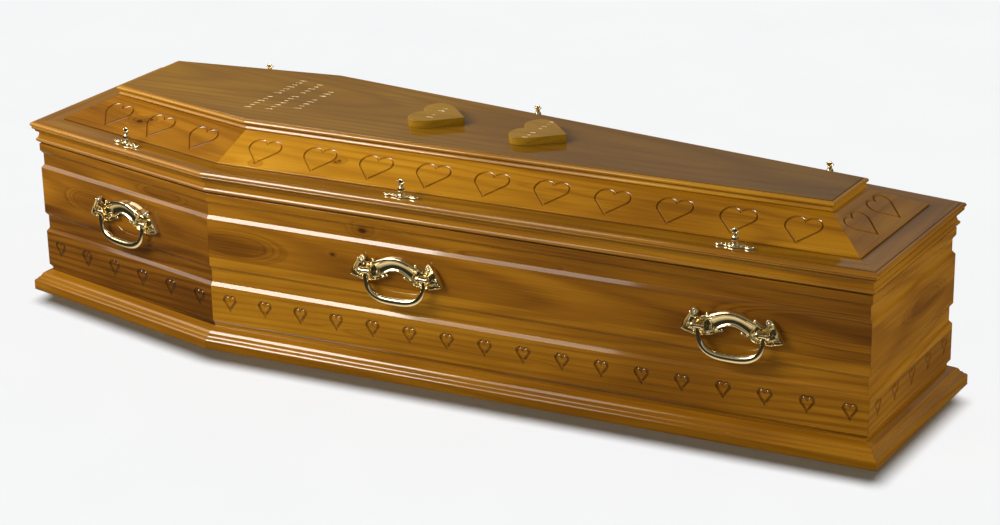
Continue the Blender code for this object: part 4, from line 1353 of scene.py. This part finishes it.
def housing_mesh():
    """Two rounded cheeks and a curved roof around a barrel at the origin."""
    cheek = [(-0.0060, HOUSING_BACK - PIVOT_STANDOFF), (0.0090, HOUSING_BACK - PIVOT_STANDOFF)]
    cheek += [(y, z) for z, y in arc((0.0, 0.0), ROOF_OUTER, 84, -46, 10)]
    flat = slab_mesh("cheek", cheek, CHEEK_THICKNESS, 0.0006, 2)
    upright = Matrix(((0, 0, 1, 0), (1, 0, 0, 0), (0, 1, 0, 0), (0, 0, 0, 1)))
    edge = BARREL_LENGTH / 2 + CHEEK_ROOM
    pieces = [
        (flat, Matrix.Translation((edge, 0, 0)) @ upright),
        (flat, Matrix.Scale(-1, 4, (1, 0, 0)) @ Matrix.Translation((edge, 0, 0)) @ upright),
    ]
    rows = []
    half = edge + CHEEK_THICKNESS * 0.5
    for place in (-half, -half * 0.5, 0.0, half * 0.5, half):
        outer = arc((0.0, 0.0), ROOF_OUTER, ROOF_START, ROOF_END, 10)
        inner = arc((0.0, 0.0), ROOF_INNER, ROOF_END, ROOF_START, 10)
        rows.append([(place, y, z) for z, y in outer + inner])
    pieces.append((closed_tube("roof", rows), Matrix.Identity(4)))
    return joined_mesh("housing", pieces)


def handle_back_mesh():
    """The cast back of a handle: fans, arch, housings, scrolls, beads and rosettes."""
    housing = housing_mesh()
    scroll = ring_mesh("scroll", 0.0046, 0.0027)
    knob = turned_mesh("knob", ball_profile(0.0030, 0.9), 12)
    large_knob = turned_mesh("large_knob", ball_profile(0.0034, 1.0), 14)
    bead = turned_mesh("bead", ball_profile(0.0014, 0.9, 6), 10)
    petal = turned_mesh("petal", ball_profile(0.0016, 0.7, 6), 10)
    pieces = [(arch_mesh(), Matrix.Identity(4))]
    for hand in (1, -1):
        pieces.append((fan_mesh(hand), Matrix.Identity(4)))
        pivot = Matrix.Translation((hand * PIVOT_SPACING / 2, 0, PIVOT_STANDOFF))
        pieces.append((housing, pivot))
        tilt = Matrix.Rotation(math.radians(-30), 4, "X")
        finial = Matrix.Translation((hand * 0.0750, 0.0242, 0.0082))
        pieces.append((scroll, finial @ tilt))
        pieces.append((large_knob, finial @ tilt))
        pieces.append((knob, Matrix.Translation((hand * 0.0832, 0.0232, 0.0100))))
        pieces.append((large_knob, Matrix.Translation((hand * 0.0482, 0.0255, 0.0112))))
        pieces.append((knob, Matrix.Translation((hand * 0.0200, -0.0056, 0.0070))))
        for step in range(1, 14):
            across = step / 14
            x = 0.0270 + (0.0975 - 0.0270) * across
            y = 0.0016 - 0.0080 * across - FAN_SAG * math.sin(math.pi * across)
            pieces.append((bead, Matrix.Translation((hand * x, y, 0.0052))))
        for centre in ((0.0885, -0.0020), (0.0440, -0.0040)):
            pieces.append((bead, Matrix.Translation((hand * centre[0], centre[1], 0.0062))))
            for turn in range(5):
                angle = 2 * math.pi * turn / 5
                spot = (hand * centre[0] + 0.0026 * math.cos(angle),
                        centre[1] + 0.0026 * math.sin(angle), 0.0052)
                pieces.append((petal, Matrix.Translation(spot)))
    return joined_mesh("handle_back", pieces)


# Profile of a thumbscrew's turned body above its plate
SCREW_BODY = (
    (0.0000, 0.0238),
    (0.0030, 0.0236),
    (0.0044, 0.0228),
    (0.0046, 0.0218),
    (0.0036, 0.0210),
    (0.0034, 0.0202),
    (0.0044, 0.0194),
    (0.0054, 0.0180),
    (0.0063, 0.0160),
    (0.0067, 0.0135),
    (0.0066, 0.0110),
    (0.0060, 0.0085),
    (0.0051, 0.0065),
    (0.0046, 0.0052),
    (0.0056, 0.0042),
    (0.0072, 0.0028),
    (0.0078, 0.0012),
    (0.0078, 0.0000),
    (0.0000, 0.0000),
)


def thumbscrew_mesh():
    """A thumbscrew: flared foot, gadrooned bulb, collar, and a crown of petals."""
    body = turned_mesh("body", SCREW_BODY, 48, 8, 0.20, (0.0052, 0.0194))
    petal = turned_mesh("crown_petal", ball_profile(0.0034, 1.55, 10), 16)
    knob = turned_mesh("crown_knob", ball_profile(0.0019, 1.0, 8), 12)
    collar = ring_mesh("collar", 0.0040, 0.0010, 20, 8)
    arm_path = [(0.0, 0.0, 0.0018), (0.0028, -0.0006, 0.0021), (0.0054, 0.0004, 0.0016),
                (0.0070, 0.0018, 0.0012)]
    arm = bent_tube("arm", arm_path, 0.8, 10)
    upright = Matrix.Rotation(math.pi / 2, 4, "X")
    flat = Matrix.Diagonal((1.0, 0.55, 1.0, 1.0))
    pieces = [(body, Matrix.Identity(4)), (collar, Matrix.Translation((0, 0, 0.0243)))]
    for lean, shift in ((0.0, 0.0), (20.0, 0.0016), (-20.0, -0.0016)):
        turn = Matrix.Rotation(math.radians(lean), 4, "Y")
        pieces.append((petal, Matrix.Translation((shift, 0, 0.0292 - abs(shift) * 0.6)) @ turn @ flat))
    for hand in (1, -1):
        mirror = Matrix.Scale(hand, 4, (1, 0, 0))
        pieces.append((arm, Matrix.Translation((0, 0, 0.0262)) @ mirror @ upright))
        pieces.append((knob, Matrix.Translation((hand * 0.0072, 0, 0.0284))))
    return joined_mesh("thumbscrew", pieces)


def wing_mesh():
    """A winged plate: a boss with scrolls and a scalloped wing to each side."""
    rows = []
    steps = 44
    for step in range(steps + 1):
        share = -1 + 2 * step / steps
        x = WING_LENGTH * math.sin(share * math.pi / 2)
        out = abs(x) / WING_LENGTH
        boss = 0.0098 * math.sqrt(max(0.0, 1 - (x / 0.0115) ** 2))
        wing = WING_WIDTH * (0.52 + 0.36 * abs(math.sin(math.pi * (out * 1.7 + 0.12))))
        wing *= math.sqrt(max(0.0, 1 - out ** 10))
        half = max(boss, wing, 0.0003)
        row = []
        for across, lift in ((-1.0, 0.55), (-0.93, 0.85), (-0.80, 1.0), (-0.62, 0.92), (-0.3, 0.72),
                             (0.0, 0.80), (0.3, 0.72), (0.62, 0.92), (0.80, 1.0), (0.93, 0.85),
                             (1.0, 0.55)):
            row.append((x, half * across, WING_THICKNESS * lift))
        rows.append(row)
    plate = grid_mesh("plate", rows, skirt=0.0)
    knob = turned_mesh("wing_knob", ball_profile(0.0021, 1.0), 12)
    scroll = ring_mesh("wing_scroll", 0.0026, 0.0012, 16, 8)
    dot = turned_mesh("wing_dot", ball_profile(0.0013, 0.8, 6), 10)
    pieces = [(plate, Matrix.Identity(4))]
    for hand in (1, -1):
        pieces.append((knob, Matrix.Translation((hand * 0.0368, 0, 0.0040))))
        pieces.append((knob, Matrix.Translation((hand * 0.0265, 0, 0.0038))))
        for fold in (1, -1):
            pieces.append((scroll, Matrix.Translation((hand * 0.0136, fold * 0.0046, 0.0038))))
            pieces.append((dot, Matrix.Translation((hand * 0.0136, fold * 0.0046, 0.0040))))
            pieces.append((dot, Matrix.Translation((hand * 0.0200, fold * 0.0034, 0.0038))))
    return joined_mesh("winged_plate", pieces)


def dress_fittings():
    """Brass thumbscrews on winged plates, handle backs and bails."""
    brass = brass_material("polished_brass_finish")
    plate = wing_mesh()
    screw = thumbscrew_mesh()
    back = handle_back_mesh()
    bail = bail_mesh()
    for label, side, place in fitting_places(SCREW_FROM_END, SCREW_MIDDLE_SHIFT):
        seat = side_frame(side) @ Matrix.Translation((place, RIM_TOP + GAP, -SCREW_INSET))
        upright = seat @ Matrix.Rotation(-math.pi / 2, 4, "X")
        crest = upright @ Matrix.Translation((0, 0, WING_THICKNESS))
        name = "winged_plate_" + label
        dress(name, plate, upright, (brass,), name, BODY, False)
        name = "thumbscrew_" + label
        dress(name, screw, crest, (brass,), name, BODY, False)
    for label, side, place in fitting_places(HANDLE_FROM_END, HANDLE_MIDDLE_SHIFT):
        seat = side_frame(side) @ Matrix.Translation((place, HANDLE_PIVOT_HEIGHT, GAP))
        name = "handle_back_" + label
        dress(name, back, seat, (brass,), name, BODY, False)
        pivot = seat @ Matrix.Translation((0, 0, PIVOT_STANDOFF))
        name = "bail_" + label
        dress(name, bail, pivot, (brass,), name, name, False)


# Studio

CAMERA_AZIMUTH = math.radians(31.0107)
CAMERA_ELEVATION = math.radians(21.0097)
CAMERA_ROLL = math.radians(-1.1385)
CAMERA_DISTANCE = 5.43617
CAMERA_TARGET = Vector((0.057142, 0.0, 0.166852))
CAMERA_LENS = 94.02
FLOOR_HALF = 16.0
# Brightness of the surroundings by height, from straight down to straight up
WORLD_STRENGTH = 1.0
WORLD_STOPS = (
    (0.06, (0.95, 0.83, 0.60)),
    (0.20, (0.45, 0.38, 0.25)),
    (0.27, (0.030, 0.027, 0.018)),
    (0.62, (0.036, 0.033, 0.024)),
    (0.70, (0.40, 0.43, 0.44)),
    (0.82, (0.20, 0.17, 0.10)),
    (1.00, (0.13, 0.10, 0.04)),
)

# Daylight on the floor, from above and slightly behind: the way it travels and its softness
SUN_DIRECTION = (0.107, -0.178, -0.978)
SUN_STRENGTH = 4.75
SUN_SPREAD = math.radians(7)

LAMP_COLOUR = (1.0, 0.955, 0.86)
# Lamps: name, place, aim, width, height, power, and whether they show in the lacquer and brass
LAMPS = (
    ("key", (-1.90, -2.10, 2.20), (-0.2, -0.3, 0.28), 1.3, 1.2, 102.0, True),
    ("key_tail", (-0.86, -2.25, 2.38), (0.2, -0.3, 0.28), 0.6, 1.2, 10.0, True),
    ("head_side", (-2.95, -1.35, 1.85), (-0.7, -0.3, 0.40), 0.8, 0.8, 6.5, True),
    ("above", (-2.0, 0.2, 2.45), (-0.1, 0.0, 0.40), 0.9, 0.9, 38.0, False),
    ("far_side", (-0.9, 2.9, 1.2), (0.0, 0.3, 0.25), 1.2, 0.9, 46.0, False),
    ("front", (-1.2, -2.6, 1.7), (-0.1, 0.0, 0.25), 0.6, 0.6, 9.0, False),
    ("foot_fill", (2.9, -0.35, 0.75), (0.95, 0.0, 0.25), 0.8, 0.8, 27.0, False),
)


def set_up_camera():
    """The camera at the photograph's viewing angle."""
    back = Vector((
        math.sin(CAMERA_AZIMUTH) * math.cos(CAMERA_ELEVATION),
        -math.cos(CAMERA_AZIMUTH) * math.cos(CAMERA_ELEVATION),
        math.sin(CAMERA_ELEVATION),
    ))
    level = Vector((math.cos(CAMERA_AZIMUTH), math.sin(CAMERA_AZIMUTH), 0.0))
    rise = back.cross(level)
    right = level * math.cos(CAMERA_ROLL) + rise * math.sin(CAMERA_ROLL)
    up = rise * math.cos(CAMERA_ROLL) - level * math.sin(CAMERA_ROLL)
    place = CAMERA_TARGET + back * CAMERA_DISTANCE
    data = bpy.data.cameras.new("photo_camera")
    data.lens = CAMERA_LENS
    data.sensor_width = 36.0
    data.clip_end = 100.0
    camera = bpy.data.objects.new("photo_camera", data)
    camera.matrix_world = Matrix((
        (right.x, up.x, back.x, place.x),
        (right.y, up.y, back.y, place.y),
        (right.z, up.z, back.z, place.z),
        (0, 0, 0, 1),
    ))
    bpy.context.scene.collection.objects.link(camera)
    bpy.context.scene.camera = camera


def add_lamp(name, kind, direction, place, energy, reflected, lit):
    """A lamp that faces along a direction and lights one collection only."""
    data = bpy.data.lights.new(name, kind)
    data.energy = energy
    lamp = bpy.data.objects.new(name, data)
    turn = Vector(direction).to_track_quat("-Z", "Y").to_matrix().to_4x4()
    lamp.matrix_world = Matrix.Translation(place) @ turn
    lamp.visible_glossy = reflected
    bpy.context.scene.collection.objects.link(lamp)
    lamp.light_linking.receiver_collection = lit
    return data


def add_lamps(floor):
    """Lamps on the coffin alone, and even daylight on the floor alone."""
    coffin = bpy.data.collections.new("lit_coffin")
    for item in bpy.context.scene.objects:
        if item.type == "MESH" and item != floor:
            coffin.objects.link(item)
    ground = bpy.data.collections.new("lit_floor")
    ground.objects.link(floor)
    for name, place, aim, width, height, power, reflected in LAMPS:
        direction = Vector(aim) - Vector(place)
        data = add_lamp(name, "AREA", direction, place, power, reflected, coffin)
        data.color = LAMP_COLOUR
        data.shape = "RECTANGLE"
        data.size = width
        data.size_y = height
    data = add_lamp("daylight", "SUN", SUN_DIRECTION, (0, 0, 4), SUN_STRENGTH, False, ground)
    data.angle = SUN_SPREAD


def set_up_floor():
    """A plain pale floor that doesn't show in the lacquer."""
    half = FLOOR_HALF
    corners = [(-half, -half, 0), (half, -half, 0), (half, half, 0), (-half, half, 0)]
    mesh = new_mesh("floor", corners, [(0, 1, 2, 3)])
    mesh.materials.append(floor_material())
    floor = add_object("studio_floor", mesh, Matrix.Translation((0, 0, -0.0005)))
    floor.visible_glossy = False
    return floor


def set_up_world():
    """Surroundings: dark low down, softly bright higher up."""
    world = bpy.data.worlds.new("studio")
    world.use_nodes = True
    tree = world.node_tree
    background = tree.nodes["Background"]
    direction = add_node(tree, "ShaderNodeTexCoord").outputs["Generated"]
    parts = add_node(tree, "ShaderNodeSeparateXYZ", (), {0: direction})
    rise = calculate(tree, "MULTIPLY_ADD", parts.outputs[2], 0.5, 0.5)
    tree.links.new(colour_ramp(tree, rise, WORLD_STOPS), background.inputs["Color"])
    background.inputs["Strength"].default_value = WORLD_STRENGTH
    bpy.context.scene.world = world
    bpy.context.scene.view_settings.view_transform = "Standard"


def set_up_studio():
    """Floor, surroundings and soft lamps."""
    floor = set_up_floor()
    set_up_world()
    add_lamps(floor)


set_up_camera()
dress_bottom()
dress_walls()
dress_mouldings()
dress_slopes()
dress_top()
dress_fittings()
set_up_studio()
